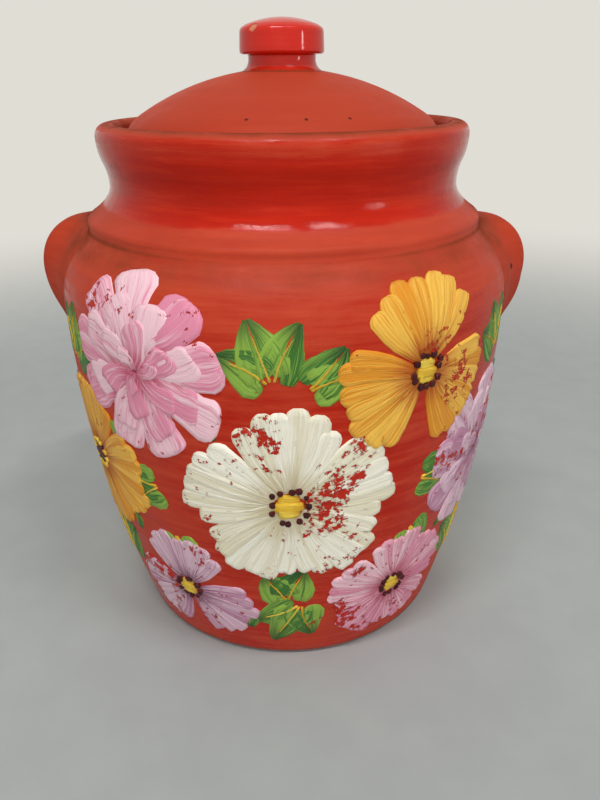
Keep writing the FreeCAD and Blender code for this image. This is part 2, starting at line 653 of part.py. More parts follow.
lugs = [make_lug("left_lug", -1), make_lug("right_lug", 1)]
pieces = [make_jar(), *lugs, make_lid(), make_knob(), make_flowers()]
check(pieces)
os.makedirs("parts", exist_ok=True)
for piece in pieces:
    piece.Shape.exportStep(os.path.join("parts", f"{piece.Label}.step"))
    print(f"{piece.Label}: {piece.Shape.Volume / 1000:.1f} cm3 in {len(piece.Shape.Faces)} faces")
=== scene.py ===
# %% [markdown]
# # A red-painted stoneware jar
# A tall kitchen jar with a flared neck, two lug handles and a domed lid with a knob. It was turned in
# stoneware, painted red all over, and then decorated with flowers in thick oil paint. The packed frame
# holds its solids at their real size, so every surface made here is worked out in the same place, with +Z
# up: in millimetres while it is drawn, in metres once it is a mesh.

# %% Load the packed frame
import math
from typing import NamedTuple

import bpy
import numpy as np
from mathutils import Matrix


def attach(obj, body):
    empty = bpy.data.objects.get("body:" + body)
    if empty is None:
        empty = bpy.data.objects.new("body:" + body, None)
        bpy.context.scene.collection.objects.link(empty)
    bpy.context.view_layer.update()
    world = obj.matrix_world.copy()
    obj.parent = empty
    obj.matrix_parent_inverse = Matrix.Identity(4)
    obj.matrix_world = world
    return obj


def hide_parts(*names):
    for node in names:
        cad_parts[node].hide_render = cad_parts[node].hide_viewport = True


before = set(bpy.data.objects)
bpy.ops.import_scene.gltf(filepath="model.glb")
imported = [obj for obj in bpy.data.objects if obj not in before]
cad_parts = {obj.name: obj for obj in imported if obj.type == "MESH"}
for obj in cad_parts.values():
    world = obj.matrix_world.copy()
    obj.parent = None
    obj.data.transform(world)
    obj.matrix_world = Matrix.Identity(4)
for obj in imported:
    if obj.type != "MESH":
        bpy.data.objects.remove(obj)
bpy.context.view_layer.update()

MM = 0.001

# %% [markdown]
# ## Camera
# The jar is seen from close by, a third of a metre away. The camera is about as high as the lid's crown and
# looks down. Its place and its three turns were found by laying the jar's outline over the picture. A
# camera can be turned with Euler angles, but a matrix of three directions says plainly where it looks,
# which side is right and which is up.

# %% Camera
PITCH, YAW, ROLL = 0.4387, 0.0198, -0.0077
EYE = (0.0, -0.3013, 0.2293)
SENSOR_WIDTH, LENS = 36.0, 31.5


def stand(right_way, up_way, back_way, spot):
    """World matrix whose columns are three directions (right, up and back) and a place."""
    columns = np.column_stack([right_way, up_way, back_way, spot])
    return Matrix(np.vstack([columns, [0.0, 0.0, 0.0, 1.0]]).tolist())


ahead = np.array([math.sin(YAW) * math.cos(PITCH), math.cos(YAW) * math.cos(PITCH), -math.sin(PITCH)])
level_right = np.cross(ahead, (0.0, 0.0, 1.0))
level_right /= np.linalg.norm(level_right)
level_above = np.cross(level_right, ahead)
right = level_right * math.cos(ROLL) + level_above * math.sin(ROLL)
above = level_above * math.cos(ROLL) - level_right * math.sin(ROLL)

camera = bpy.data.objects.new("camera", bpy.data.cameras.new("camera"))
camera.data.sensor_width = SENSOR_WIDTH
camera.data.lens = LENS
camera.matrix_world = stand(right, above, -ahead, EYE)
bpy.context.scene.collection.objects.link(camera)
bpy.context.scene.camera = camera
print("camera looks along", np.round(ahead, 3).tolist())

# %% [markdown]
# ## Shader sums as Python sums
# A finish is a small calculation: where dirt and painted shade gather, how far dust dulls the coat, how
# bristles comb it.
# Math nodes can be placed one by one, but then the formula is lost among the links. Here a class wraps one
# output socket, and adding or multiplying such values adds the Math nodes, so that a mask reads as it would
# on paper.


# %% Shader values
class Shade:
    """An output socket. Arithmetic on it adds Math nodes; node() adds any other kind."""

    def __init__(self, socket):
        self.socket = socket

    @classmethod
    def feed(cls, made, sockets):
        """Gives values or links to the sockets of a node."""
        for key, given in sockets.items():
            if isinstance(given, cls):
                made.id_data.links.new(given.socket, made.inputs[key])
            else:
                made.inputs[key].default_value = given

    @classmethod
    def node(cls, tree, kind, settings=None, sockets=None, out=0):
        """Adds a node: its type, its settings, then values or links for its sockets."""
        made = tree.nodes.new("ShaderNode" + kind)
        for name, setting in (settings or {}).items():
            setattr(made, name, setting)
        cls.feed(made, sockets or {})
        return cls(made.outputs[out])

    @classmethod
    def sum(cls, operation, *values):
        """A Math node on values of which at least one is a Shade."""
        tree = next(v for v in values if isinstance(v, cls)).socket.id_data
        return cls.node(tree, "Math", {"operation": operation}, dict(enumerate(values)))

    def __add__(self, other):
        return self.sum("ADD", self, other)

    __radd__ = __add__

    def __sub__(self, other):
        return self.sum("SUBTRACT", self, other)

    def __rsub__(self, other):
        return self.sum("SUBTRACT", other, self)

    def __mul__(self, other):
        return self.sum("MULTIPLY", self, other)

    def __truediv__(self, other):
        return self.sum("DIVIDE", self, other)

    def rise(self, low, high):
        """0 below low, 1 above high, smooth between; low may be the greater."""
        ends = {0: self, 1: low, 2: high, 3: 0.0, 4: 1.0}
        return self.node(self.socket.id_data, "MapRange", {"interpolation_type": "SMOOTHSTEP"}, ends)

    def blend(self, first, second):
        """The colour first where this value is 0 and second where it is 1."""
        kind = {"data_type": "RGBA", "clamp_factor": True}
        return self.node(self.socket.id_data, "Mix", kind, {0: self, 6: first, 7: second}, out=2)


print("sums that also take a number first:", [name for name in vars(Shade) if name.startswith("__r")])

# %% [markdown]
# ## Colours, noise and spots
# Old paint is never one flat colour, so the finishes below share a few helpers: a colour picked on a
# screen, cloud noise, a value stored on the mesh and a round spot. The noise reads Object coordinates, in
# metres. Generated coordinates would be stretched to each piece's own box, and one noise would then be
# coarse on the jar and fine on its knob.

# %% Finish helpers
SPOT_CORE = 0.45


def pigment(red, green, blue):
    """A colour as picked on a screen, 0 to 255, turned into the linear values that shaders use."""
    screen = np.array([red, green, blue]) / 255.0
    linear = np.where(screen <= 0.04045, screen / 12.92, ((screen + 0.055) / 1.055) ** 2.4)
    return (*linear.tolist(), 1.0)


def new_finish(name):
    """A material with one Principled shader. Returns the material and its node tree."""
    material = bpy.data.materials.new(name)
    material.use_nodes = True
    return material, material.node_tree


def noise(tree, vector, scale, detail=3.0, roughness=0.55, distortion=0.0):
    """Cloud noise, about 0.3 to 0.7 and 0.5 on average. Scale 100 gives spots about 10 mm apart."""
    values = {"Scale": scale, "Detail": detail, "Roughness": roughness, "Distortion": distortion}
    return Shade.node(tree, "TexNoise", None, {"Vector": vector, **values})


def place(tree, stretch=(1.0, 1.0, 1.0)):
    """Object coordinates in metres, scaled apart along the axes where a pattern is drawn out."""
    where = Shade.node(tree, "TexCoord", out="Object")
    return Shade.node(tree, "Mapping", None, {"Vector": where, "Scale": stretch})


def attribute(tree, name):
    """A value stored on the mesh, 0 where the mesh has none of that name."""
    return Shade.node(tree, "Attribute", {"attribute_name": name}, out="Fac")


def near(tree, spot, size):
    """1 in the core of a spot given in millimetres, falling to 0 at its size."""
    where = Shade.node(tree, "TexCoord", out="Object")
    target = tuple(value * MM for value in spot)
    away = Shade.node(tree, "VectorMath", {"operation": "DISTANCE"}, {0: where, 1: target}, out="Value")
    return away.rise(size * MM, SPOT_CORE * size * MM)


def set_shader(tree, colour, rough, height=None, relief=0.0, shine=0.5):
    """Feeds the Principled shader: colour, roughness, mirror strength, and a height as relief in metres."""
    shader = tree.nodes["Principled BSDF"]
    Shade.feed(shader, {"Base Color": colour, "Roughness": rough, "Specular IOR Level": shine})
    if height is not None:
        bump = Shade.node(tree, "Bump", None, {"Strength": 1.0, "Distance": relief, "Height": height})
        Shade.feed(shader, {"Normal": bump})


def lay_over(tree, share, top):
    """Covers the Principled shader with another shader, as far as share says."""
    under = Shade(tree.nodes["Principled BSDF"].outputs[0])
    covered = Shade.node(tree, "MixShader", None, {0: share, 1: under, 2: top})
    Shade.feed(tree.nodes["Material Output"], {"Surface": covered})


print("a screen's middle grey as linear light:", np.round(pigment(128, 128, 128), 3).tolist())

# %% [markdown]
# ## The red paint
# The jar was painted red over the fired clay. On the real one the coat is satin and a little uneven. Age
# has left dust on what faces up and a dry brown layer of dirt along the rim. The same brown is painted into
# the crease under the collar, the shade below the collar, the roots of the lugs and the foot of the knob:
# there it is painted shade with some dirt. One flat red would look like plastic. The finish mixes three
# reds by noise drawn out along the brush, and bumps the coat so that highlights break up. Values stored on
# the mesh say where dust, the brown of dirt and painted shade, and dry paint lie. Dust dulls the coat, but
# the brown and dry paint take its shine, so a second shader that has none is mixed in there.

# %% Red paint
JAR_REDS = pigment(172, 24, 3), pigment(187, 32, 6), pigment(202, 54, 22)
LID_REDS = pigment(164, 26, 6), pigment(176, 34, 8), pigment(190, 50, 22)
KNOB_REDS = pigment(192, 28, 12), pigment(206, 34, 16), pigment(214, 50, 30)
# The brown of dirt; painted into creases, roots and the shade under the collar, it is painted shade.
GRIME_AND_SHADE_BROWN, DUST = pigment(120, 56, 36), pigment(178, 100, 70)
# PIT is the dark inside a pit's hollow: painted shade with some dirt.
CLAY, PIT = pigment(204, 146, 108), pigment(64, 22, 12)
BRUSH_PULL, COAT_RELIEF = (0.6, 0.6, 8.0), 0.0004
DUST_COVER, SPECK_COVER, CHIP_COVER, PIT_COVER, DARK_FILM_COVER = 0.42, 0.45, 0.65, 0.85, 0.85
CRUST_ROUGHNESS, NO_FILM = 0.9, 0.001
JAR_ROUGHNESS, JAR_DUST, JAR_SHINE = 0.11, 0.72, 0.17


def dry_crust(tree, colour, patch, slow):
    """Mixes a crust without shine over the coat: brown for dirt and painted shade, red where only dry.

    The brown, which is dirt together with painted shade, and the dryness are stored values broken up by
    noise. The greater of the two hides the shine, and the brown's part of it says how brown the crust is.
    """
    dark_film = (attribute(tree, "grime_and_shade") * (patch * 1.3 + slow * 0.5)).rise(0.10, 0.85) * DARK_FILM_COVER
    no_shine = Shade.sum("MAXIMUM", dark_film, attribute(tree, "dry") * (patch * 0.4 + 0.38))
    crust_colour = (dark_film / (no_shine + NO_FILM)).blend(colour, GRIME_AND_SHADE_BROWN)
    matt = {"Base Color": crust_colour, "Roughness": CRUST_ROUGHNESS, "Specular IOR Level": 0.0}
    lay_over(tree, no_shine, Shade.node(tree, "BsdfPrincipled", None, matt))


def red_paint(name, roughness, dusty=0.0, shine=0.12, streaky=0.8, reds=JAR_REDS, chips=(), pits=()):
    """Red coat: three reds mixed by brush noise, dust blended in, then chips and pits cut into it.

    shine is its mirror strength, dusty how far settled dust dulls it, streaky how far the brush shows. Chips
    and pits are spots in millimetres, each with its size.
    """
    material, tree = new_finish(name)
    deep, coat, bright = reds
    flat = place(tree)
    slow = noise(tree, flat, 22.0, 5.0, 0.62)
    patch = noise(tree, flat, 95.0, 5.0, 0.65, 0.3)
    peel = noise(tree, flat, 240.0, 3.0, 0.5)
    fine = noise(tree, flat, 1100.0, 2.0)
    streak = noise(tree, place(tree, BRUSH_PULL), 50.0, 5.0, 0.6)
    colour = ((slow * 0.4 + streak * 0.6 - 0.5) * streaky + 0.5).rise(0.36, 0.62).blend(deep, coat)
    colour = ((patch * 0.25 + streak * 0.75).rise(0.5, 0.68) * (0.4 * streaky)).blend(colour, bright)
    settled = (attribute(tree, "dust") + (slow + streak - 1.0) * 0.9).rise(0.15, 0.85)
    dull = settled * (slow * 0.5 + patch * 0.5 + 0.5) * dusty
    colour = (dull * DUST_COVER).blend(colour, DUST)
    specks = fine.rise(0.69, 0.77) * slow.rise(0.5, 0.62) * SPECK_COVER
    colour = specks.blend(colour, GRIME_AND_SHADE_BROWN)
    rough = roughness + (patch - 0.5) * 0.2 + (slow - 0.5) * 0.16 + dull * 0.6
    height = (peel * 0.2 + fine * 0.02 + streak * 0.45 + patch * 0.6) * (streaky * 1.25)
    for spot, size in chips:
        bare = (near(tree, spot, size) + (peel - 0.5) * 1.2 + (fine - 0.5) * 1.6).rise(0.42, 0.62)
        colour = (bare * CHIP_COVER).blend(colour, CLAY)
        rough = rough + bare * 0.35
        height = height - bare
    for spot, size in pits:
        # Each pit is darkened with PIT, painted shade in the hollow with some dirt.
        hole = (near(tree, spot, size) + (fine - 0.5) * 0.8).rise(0.3, 0.75)
        colour = (hole * PIT_COVER).blend(colour, PIT)
        height = height - hole * 1.5
    set_shader(tree, colour, rough, height, COAT_RELIEF, shine)
    dry_crust(tree, colour, patch, slow)
    return material


jar_paint = red_paint("jar_red_paint", JAR_ROUGHNESS, JAR_DUST, JAR_SHINE)
print("finish:", jar_paint.name, len(jar_paint.node_tree.nodes), "nodes")

# %% [markdown]
# ## Bare and glazed stoneware
# Under the foot the clay is bare: buff, dry and speckled with iron. Inside, such jars are glazed so that
# they can be washed; the picture does not show it, so a plain cream glaze stands there. Both are speckled
# clay colours with a different gloss, so one function makes them.

# %% Stoneware
IRON = pigment(96, 66, 44)
IRON_COVER = 0.7


def stoneware(name, pale, dark, roughness, relief):
    """Speckled clay body: two tones by slow noise, with small dark iron spots."""
    material, tree = new_finish(name)
    where = place(tree)
    cloud = noise(tree, where, 40.0, 4.0, 0.6)
    grain = noise(tree, where, 700.0, 3.0, 0.6)
    spots = noise(tree, where, 420.0, 2.0, 0.5).rise(0.66, 0.74)
    colour = cloud.rise(0.35, 0.68).blend(pale, dark)
    colour = (spots * IRON_COVER).blend(colour, IRON)
    set_shader(tree, colour, roughness + (grain - 0.5) * 0.2, grain + cloud * 0.4, relief)
    return material


bare_clay = stoneware("bare_stoneware", pigment(212, 186, 150), pigment(184, 150, 110), 0.82, 0.0003)
inside_glaze = stoneware("inside_glaze", pigment(226, 212, 184), pigment(208, 188, 152), 0.22, 0.00008)
print("finishes:", bare_clay.name, inside_glaze.name)

# %% [markdown]
# ## Sections
# Jar, lid and knob were turned on a wheel, so each is a section spun round the axis. A potter's section is
# made of arcs, straight runs and soft transitions, drawn here as points (radius, height). A Bezier curve
# could be drawn by hand instead, but arcs from sizes meet with one direction, and that keeps highlights
# unbroken.


# %% Lines and arcs of a section
def bow(centre, start, end, count):
    """Arc about a centre from start to end, the short way round."""
    centre, start, end = np.array(centre), np.array(start), np.array(end)
    first, last = (np.arctan2(p[1] - centre[1], p[0] - centre[0]) for p in (start, end))
    turn = (last - first + np.pi) % (2 * np.pi) - np.pi
    angle = first + turn * np.linspace(0.0, 1.0, count)
    return centre + np.linalg.norm(start - centre) * np.column_stack([np.cos(angle), np.sin(angle)])


def rounding(centre, radius, first, last, count):
    """Arc about a centre between two angles in degrees: 0 points away from the axis and 90 up."""
    angle = np.radians(np.linspace(first, last, count))
    return np.array(centre) + radius * np.column_stack([np.cos(angle), np.sin(angle)])


def on_circle(centre, radius, degrees):
    """The point of a circle at an angle, and the direction in which it moves on as the angle grows."""
    angle = math.radians(degrees)
    way = np.array([-math.sin(angle), math.cos(angle)])
    return centre + radius * np.array([way[1], -way[0]]), way


def eased(start, start_way, end, end_way, count):
    """Quadratic curve that leaves start and reaches end in given directions, pulled to where these cross."""
    step, _ = np.linalg.solve(np.column_stack([start_way, end_way]), end - start)
    pull = start + step * start_way
    t = np.linspace(0.0, 1.0, count)[:, None]
    return (1 - t) ** 2 * start + 2 * t * (1 - t) * pull + t**2 * end


def straight(start, end, count):
    """Evenly spaced points on a line."""
    return np.linspace(start, end, count)


print("a quarter round of 2 mm:", np.round(rounding((0.0, 0.0), 2.0, 0, 90, 3), 2).tolist())

# %% [markdown]
# ## Turned pieces
# Blender's Screw modifier would spin a section, but working the rings out as arrays lets the wall wander a
# fraction of a millimetre, as a thrown wall does, and lets finishes, dirt and painted shade be given ring by
# ring.

# %% Rings
WAVES = ((2, 0.20, 0.6, 90.0), (3, 0.10, 1.9, -55.0), (7, 0.05, 0.0, 14.0))
SHRINK, TRUE_RADIUS = 0.2, 20.0


def wander(turn, height):
    """How far a thrown wall is out of true, in millimetres, at an angle and height.

    Slow waves added up: amount times the sine of (count * turn + start + height / climb), less SHRINK.
    """
    waves = (amount * np.sin(count * turn + start + height / climb) for count, amount, start, climb in WAVES)
    return sum(waves) - SHRINK


def spin(section, count, uneven=1.0):
    """Rings of points, shape (rows, count, 3): the section at every angle, less uneven near the axis."""
    turn = np.linspace(0.0, 2 * np.pi, count, endpoint=False)[None, :]
    radius, height = section[:, :1], section[:, 1:]
    radius = radius + uneven * wander(turn, height) * np.clip(radius / TRUE_RADIUS, 0.0, 1.0)
    return np.stack([radius * np.sin(turn), -radius * np.cos(turn), height + 0 * turn], axis=-1)


def capped(rings, poles, way=1):
    """Points and faces of rings closed by two poles: quads between rings, and a fan from each end to a pole.

    They face out for a section that runs up the outside and is spun counter-clockwise, seen from above.
    A way of -1 turns them round.
    """
    rows, count = rings.shape[:2]
    column = np.arange(count)
    next_column = (column + 1) % count
    row = np.arange(rows - 1)[:, None] * count
    quads = [row + column, row + next_column, row + count + next_column, row + count + column]
    last_row, first_pole = (rows - 1) * count, rows * count
    under = np.column_stack([next_column, column, np.full(count, first_pole)])
    over = np.column_stack([last_row + column, last_row + next_column, np.full(count, first_pole + 1)])
    quads, fans = np.stack(quads, axis=-1).reshape(-1, 4), np.vstack([under, over])
    faces = [*quads[:, ::way].tolist(), *fans[:, ::way].tolist()]
    return np.vstack([rings.reshape(-1, 3), poles]), faces


print("a wall wanders by", round(float(np.ptp(wander(np.linspace(0, math.tau, 90), 100.0))), 2), "mm")

# %% [markdown]
# A piece is a mesh that rides on one body of the packed frame and stands for one of its solids. Its points
# come from arrays, its faces from lists of point numbers. A turned piece can wear more than one finish: as
# its faces are made ring by ring, a finish is given to runs of rings.


# %% Pieces
def new_piece(name, points, faces, body, materials, replaced):
    """Makes a smooth mesh object from points in millimetres, riding on a body and standing for CAD nodes."""
    mesh = bpy.data.meshes.new(name)
    mesh.from_pydata((np.asarray(points) * MM).tolist(), [], faces)
    mesh.shade_smooth()
    for material in materials:
        mesh.materials.append(material)
    piece = bpy.data.objects.new(name, mesh)
    bpy.context.scene.collection.objects.link(piece)
    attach(piece, body)
    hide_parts(*replaced)
    return piece


def turned_piece(name, section, count, body, materials, replaced, uneven=1.0):
    """A closed turned piece whose section starts and ends on the axis. Returns it and its points."""
    poles = np.array([[0.0, 0.0, section[0, 1]], [0.0, 0.0, section[-1, 1]]])
    points, faces = capped(spin(section[1:-1], count, uneven), poles)
    return new_piece(name, points, faces, body, materials, replaced), points


def finish_by_ring(piece, count, finishes, starts):
    """Gives the rings of faces from row starts[k] on the finish finishes[k]; end fans follow their ring."""
    rows = len(piece.data.polygons) // count - 2
    ring_finish = np.array(finishes)[np.searchsorted(starts, np.arange(rows), side="right") - 1]
    every = np.repeat([*ring_finish, finishes[0], finishes[-1]], count)
    piece.data.polygons.foreach_set("material_index", every.astype(np.int32))


# %% [markdown]
# ## The jar
# The section is drawn as a potter would read it: foot ring, long swelling wall, round shoulder, a crease,
# the rolled edge of the collar, the hollow neck and the flared rim, then down inside over the gallery that
# carries the lid. The sizes are the solids' own, but the crease is softened, and the cove from collar to
# neck is hollowed half a millimetre deeper, as a thumb leaves it.

# %% Jar section, outside
BELLY, BELLY_HEIGHT, FOOT = 93.2, 148.0, 71.7
RECESS, RECESS_RADIUS, RECESS_EDGE = 2.0, 58.5, 1.2
RING_IN, RING_OUT, FOOT_EDGE, FOOT_TOP = (59.9, 0.1), 68.7, 4.0, (72.54, 2.88)
CREASE = np.array([79.0, 174.0])
ROLL_CENTRE, ROLL_RADIUS = np.array([77.6, 176.19]), 2.6
SHOULDER_END, ROLL_START, ROLL_END = 48.0, -5.0, 57.0
NECK, NECK_HEIGHT = 70.2, 190.0
RIM, BAND_HEIGHT, TOP = 73.6, 206.5, 212.0
GALLERY, SEAT = 65.5, 199.0
RIM_ROUND, LIP_ROUND, SEAT_FILLET = 4.2, 2.6, 1.5

inset = BELLY - FOOT
wall_centre = np.array([BELLY - (inset**2 + BELLY_HEIGHT**2) / (2 * inset), BELLY_HEIGHT])
drawn_in = BELLY - CREASE[0]
shoulder_radius = (drawn_in**2 + (CREASE[1] - BELLY_HEIGHT) ** 2) / (2 * drawn_in)
shoulder_centre = np.array([BELLY - shoulder_radius, BELLY_HEIGHT])
flare = ((RIM - NECK) ** 2 + (BAND_HEIGHT - NECK_HEIGHT) ** 2) / (4 * (RIM - NECK))
halfway = np.array([(RIM + NECK) / 2, (BAND_HEIGHT + NECK_HEIGHT) / 2])

shoulder_end, shoulder_way = on_circle(shoulder_centre, shoulder_radius, SHOULDER_END)
roll_start, roll_way = on_circle(ROLL_CENTRE, ROLL_RADIUS, ROLL_START)
roll_end, cove_way = on_circle(ROLL_CENTRE, ROLL_RADIUS, ROLL_END)
soft_crease = eased(shoulder_end, shoulder_way, roll_start, roll_way, 12)
cove = eased(roll_end, cove_way, np.array([NECK, NECK_HEIGHT]), np.array([0.0, 1.0]), 20)

foot_part = [
    straight((0.0, RECESS), (RECESS_RADIUS, RECESS), 8),
    rounding((RECESS_RADIUS, RECESS - RECESS_EDGE), RECESS_EDGE, 90, 0, 4),
    straight(RING_IN, (RING_OUT, 0.0), 5),
]
wall_part = [
    bow((RING_OUT, FOOT_EDGE), (RING_OUT, 0.0), FOOT_TOP, 7),
    bow(wall_centre, FOOT_TOP, (BELLY, BELLY_HEIGHT), 70)[1:],
    bow(shoulder_centre, (BELLY, BELLY_HEIGHT), shoulder_end, 26)[1:],
]
collar_part = [
    soft_crease[1:],
    bow(ROLL_CENTRE, roll_start, roll_end, 9)[1:],
    cove[1:],
    bow((NECK + flare, NECK_HEIGHT), (NECK, NECK_HEIGHT), halfway, 8)[1:],
    bow((RIM - flare, BAND_HEIGHT), halfway, (RIM, BAND_HEIGHT), 8)[1:],
    rounding((RIM - RIM_ROUND, TOP - RIM_ROUND), RIM_ROUND, 0, 90, 10),
    rounding((GALLERY + LIP_ROUND, TOP - LIP_ROUND), LIP_ROUND, 90, 180, 8),
    straight((GALLERY, TOP - LIP_ROUND), (GALLERY, SEAT + SEAT_FILLET), 6)[1:],
    rounding((GALLERY - SEAT_FILLET, SEAT + SEAT_FILLET), SEAT_FILLET, 0, -90, 5)[1:],
]
outer_wall = np.vstack(wall_part)
print("outside:", sum(map(len, foot_part + wall_part + collar_part)), "points, crease at", CREASE.tolist())

# %% [markdown]
# Inside, the ledge of the gallery narrows to the mouth. Below it the wall follows the outside, and grows a
# little thicker towards the floor, as thrown walls do. The picture does not show it, so this is what such
# jars have.

# %% Jar section, inside
LEDGE_OUT, MOUTH, MOUTH_EDGE, MOUTH_TOP, MOUTH_FOOT = 63.0, 57.5, 1.2, 197.0, 193.0
LEDGE_SLOPE = (58.2, 191.4), (63.2, 186.3)
NECK_INSIDE_TOP, NECK_INSIDE_FOOT = 185.0, 182.0
WALL, INNER_CURVE, INNER_SHOULDER, INNER_FOOT = 7.0, 460.1, (78.7, 165.4), (68.7, 21.0)
FLOOR, FLOOR_ROUND, FLOOR_FLAT, FLOOR_IN = 9.0, 12.0, 56.9, 52.0

inner_belly = np.array([BELLY - WALL, BELLY_HEIGHT])
inner_centre = inner_belly - (INNER_CURVE, 0.0)
inside_part = [
    straight((LEDGE_OUT, SEAT), (MOUTH + MOUTH_EDGE, SEAT), 4),
    rounding((MOUTH + MOUTH_EDGE, SEAT - MOUTH_EDGE), MOUTH_EDGE, 90, 180, 5)[1:],
    straight((MOUTH, MOUTH_TOP), (MOUTH, MOUTH_FOOT), 3),
    straight(*LEDGE_SLOPE, 4),
    straight((NECK - WALL, NECK_INSIDE_TOP), (NECK - WALL, NECK_INSIDE_FOOT), 3),
    bow(shoulder_centre, inner_belly, INNER_SHOULDER, 14)[::-1],
    bow(inner_centre, inner_belly, INNER_FOOT, 24)[1:],
    rounding((FLOOR_FLAT, FLOOR + FLOOR_ROUND), FLOOR_ROUND, 0, -90, 9)[1:],
    straight((FLOOR_IN, FLOOR), (0.0, FLOOR), 9),
]
jar_section = np.vstack([*foot_part, *wall_part, *collar_part, *inside_part])
print("jar section:", len(jar_section), "points, widest", round(float(jar_section[:, 0].max()), 1), "mm")

# %% [markdown]
# ## Dust, dirt and painted shade
# Dust lies on what faces up. A brown of dirt and painted shade darkens creases, roots and the shade under
# the collar. A shader cannot see how far a crease is, so each point of a mesh stores how dusty, how dark
# and how dry it is, and the paint reads that.
# Weights could be painted by hand, but a rule by distance and slope fits every piece.

# %% Dirt and shade helpers
LUG_HEIGHT, LUG_ROOT_FROM, LUG_ROOT_TO = 151.0, 27.0, 42.0
SHADE_HEIGHT, SHADE_DEPTH = 170.0, 6.0


def store(piece, name, values):
    """Keeps one number per point on the mesh, for a finish to read."""
    layer = piece.data.attributes.new(name, "FLOAT", "POINT")
    layer.data.foreach_set("value", np.asarray(values, dtype=np.float32).ravel())


def facing_up(piece):
    """How far each point of a mesh faces up: 1 straight up, 0 sideways, negative below."""
    normals = np.empty(3 * len(piece.data.vertices), dtype=np.float32)
    piece.data.vertex_normals.foreach_get("vector", normals)
    return normals.reshape(-1, 3)[:, 2]


def smooth_rise(value, low, high):
    """0 below low, 1 above high, smooth between: s s (3 - 2 s) of the share s."""
    share = np.clip((value - low) / (high - low), 0.0, 1.0)
    return share * share * (3 - 2 * share)


def bell(distance, width):
    """exp(-(distance / width)^2): 1 at no distance, and small beyond twice the width."""
    return np.exp(-((distance / width) ** 2))


def round_lug(points):
    """1 at the root of a lug, falling to 0 some way off on the wall."""
    off = np.hypot(points[:, 1], points[:, 2] - LUG_HEIGHT)
    return 1.0 - smooth_rise(off, LUG_ROOT_FROM, LUG_ROOT_TO)


def under_collar(points):
    """1 in the shade just under the collar, fading downwards, and 0 above the crease."""
    return bell(points[:, 2] - SHADE_HEIGHT, SHADE_DEPTH) * (points[:, 2] < CREASE[1])


print("a bell at one and two widths:", np.round(bell(np.array([1.0, 2.0]), 1.0), 3).tolist())

# %% [markdown]
# The jar is one closed mesh. Its faces take three finishes by ring: bare clay under the foot, red paint
# outside and over the rim, glaze inside. The brown is worked out from distance: dirt on the crest of the
# rim; painted shade with some dirt in the crease, heavier at the jar's left and right, in the shade under
# the collar and at the roots of the lugs, where the paint is also dry; painted shade in the gallery; and a
# darkening near the foot. Dust is worked out from the slope: it stays on what faces up, and thinly on the
# wall that hands touch, while the hollow neck keeps its gloss. In the gallery it is set in full, a painted
# lightening of the narrow gap.

# %% Jar mesh
PAINT, GLAZE, BARE = 0, 1, 2
JAR_TURNS, DEEPEST = 288, 7
LUG_SIDE, CREST = 50.0, 69.0
CREASE_LINE, CREASE_HAZE, CREST_FILM, FOOT_DARKENING = 0.9, 7.0, 3.4, 5.0
COVE_CLEAN, SLOPE_DUSTY = 0.59, 0.79

jar_finishes = [jar_paint, inside_glaze, bare_clay]
jar, jar_points = turned_piece(
    "jar", jar_section, JAR_TURNS, "jar", jar_finishes, ["jar_body"]
)
foot_rows = sum(map(len, foot_part)) - 2
outside_rows = foot_rows + sum(map(len, wall_part)) + sum(map(len, collar_part))
finish_by_ring(jar, JAR_TURNS, (BARE, PAINT, GLAZE), (0, foot_rows, outside_rows))

radius, height = np.hypot(jar_points[:, 0], jar_points[:, 1]), jar_points[:, 2]
sideways = np.abs(jar_points[:, 0]) / np.maximum(radius, 1.0)
crease_line = soft_crease[DEEPEST]
to_crease = np.hypot(radius - crease_line[0], height - crease_line[1])
to_crest = np.hypot(radius - CREST, height - TOP)
at_lug = round_lug(jar_points) * (np.abs(jar_points[:, 0]) > LUG_SIDE)
in_gallery = (radius < GALLERY + 1.0) * (height > SEAT - 1.0)
# Painted shade with some dirt in the crease, heavier at the jar's left and right; dirt on the rim's crest.
grime_and_shade = 0.55 * np.clip(sideways * 1.6 - 0.2, 0.1, 1.0) * bell(to_crease, CREASE_LINE)
grime_and_shade += 0.12 * sideways * bell(to_crease, CREASE_HAZE) + 0.8 * bell(to_crest, CREST_FILM)
# Painted shade under the collar.
grime_and_shade += 0.42 * under_collar(jar_points) * (radius > NECK)
# Painted shade with some dirt at the lug roots, painted shade in the gallery, a darkening near the foot.
grime_and_shade += 0.6 * at_lug + 0.5 * bell(height, FOOT_DARKENING) + 0.25 * in_gallery
store(jar, "grime_and_shade", grime_and_shade)
store(jar, "dry", at_lug)

upward = facing_up(jar)
above_crease = height > CREASE[1]
wall_dust = (0.5 + 0.5 * np.clip(upward, 0.0, 1.0)) * (height < CREASE[1])
collar_dust = smooth_rise(upward, COVE_CLEAN, SLOPE_DUSTY) + 0.9 * (height < roll_end[1] + 0.5)
# In the gallery dust is set in full: a painted lightening of the narrow gap's shade.
rim_dust = 0.45 * smooth_rise(height, BAND_HEIGHT - 5.0, BAND_HEIGHT) + in_gallery
store(jar, "dust", np.clip(wall_dust + collar_dust * above_crease + rim_dust, 0.0, 1.0))
print("jar mesh:", len(jar.data.vertices), "points")

# %% [markdown]
# ## The lugs
# Each lug is a thick lobe of clay pressed on under the collar, rounded on every edge, its root smeared into
# the wall with a thumb. A lobe like that is a rounded disc: a superellipse across its thickness, swept
# round the disc's outline, which is a little square above and flat at its outer side. Near the wall its two
# faces are turned aside about the jar's axis by a falling exponential. That gives the smeared root, which
# narrows in a round towards its lower end. What would reach through the wall is held back three millimetres
# under the skin. A sculpted mesh could look the same, but each lug here is one formula, so two lugs can
# differ by a few numbers.

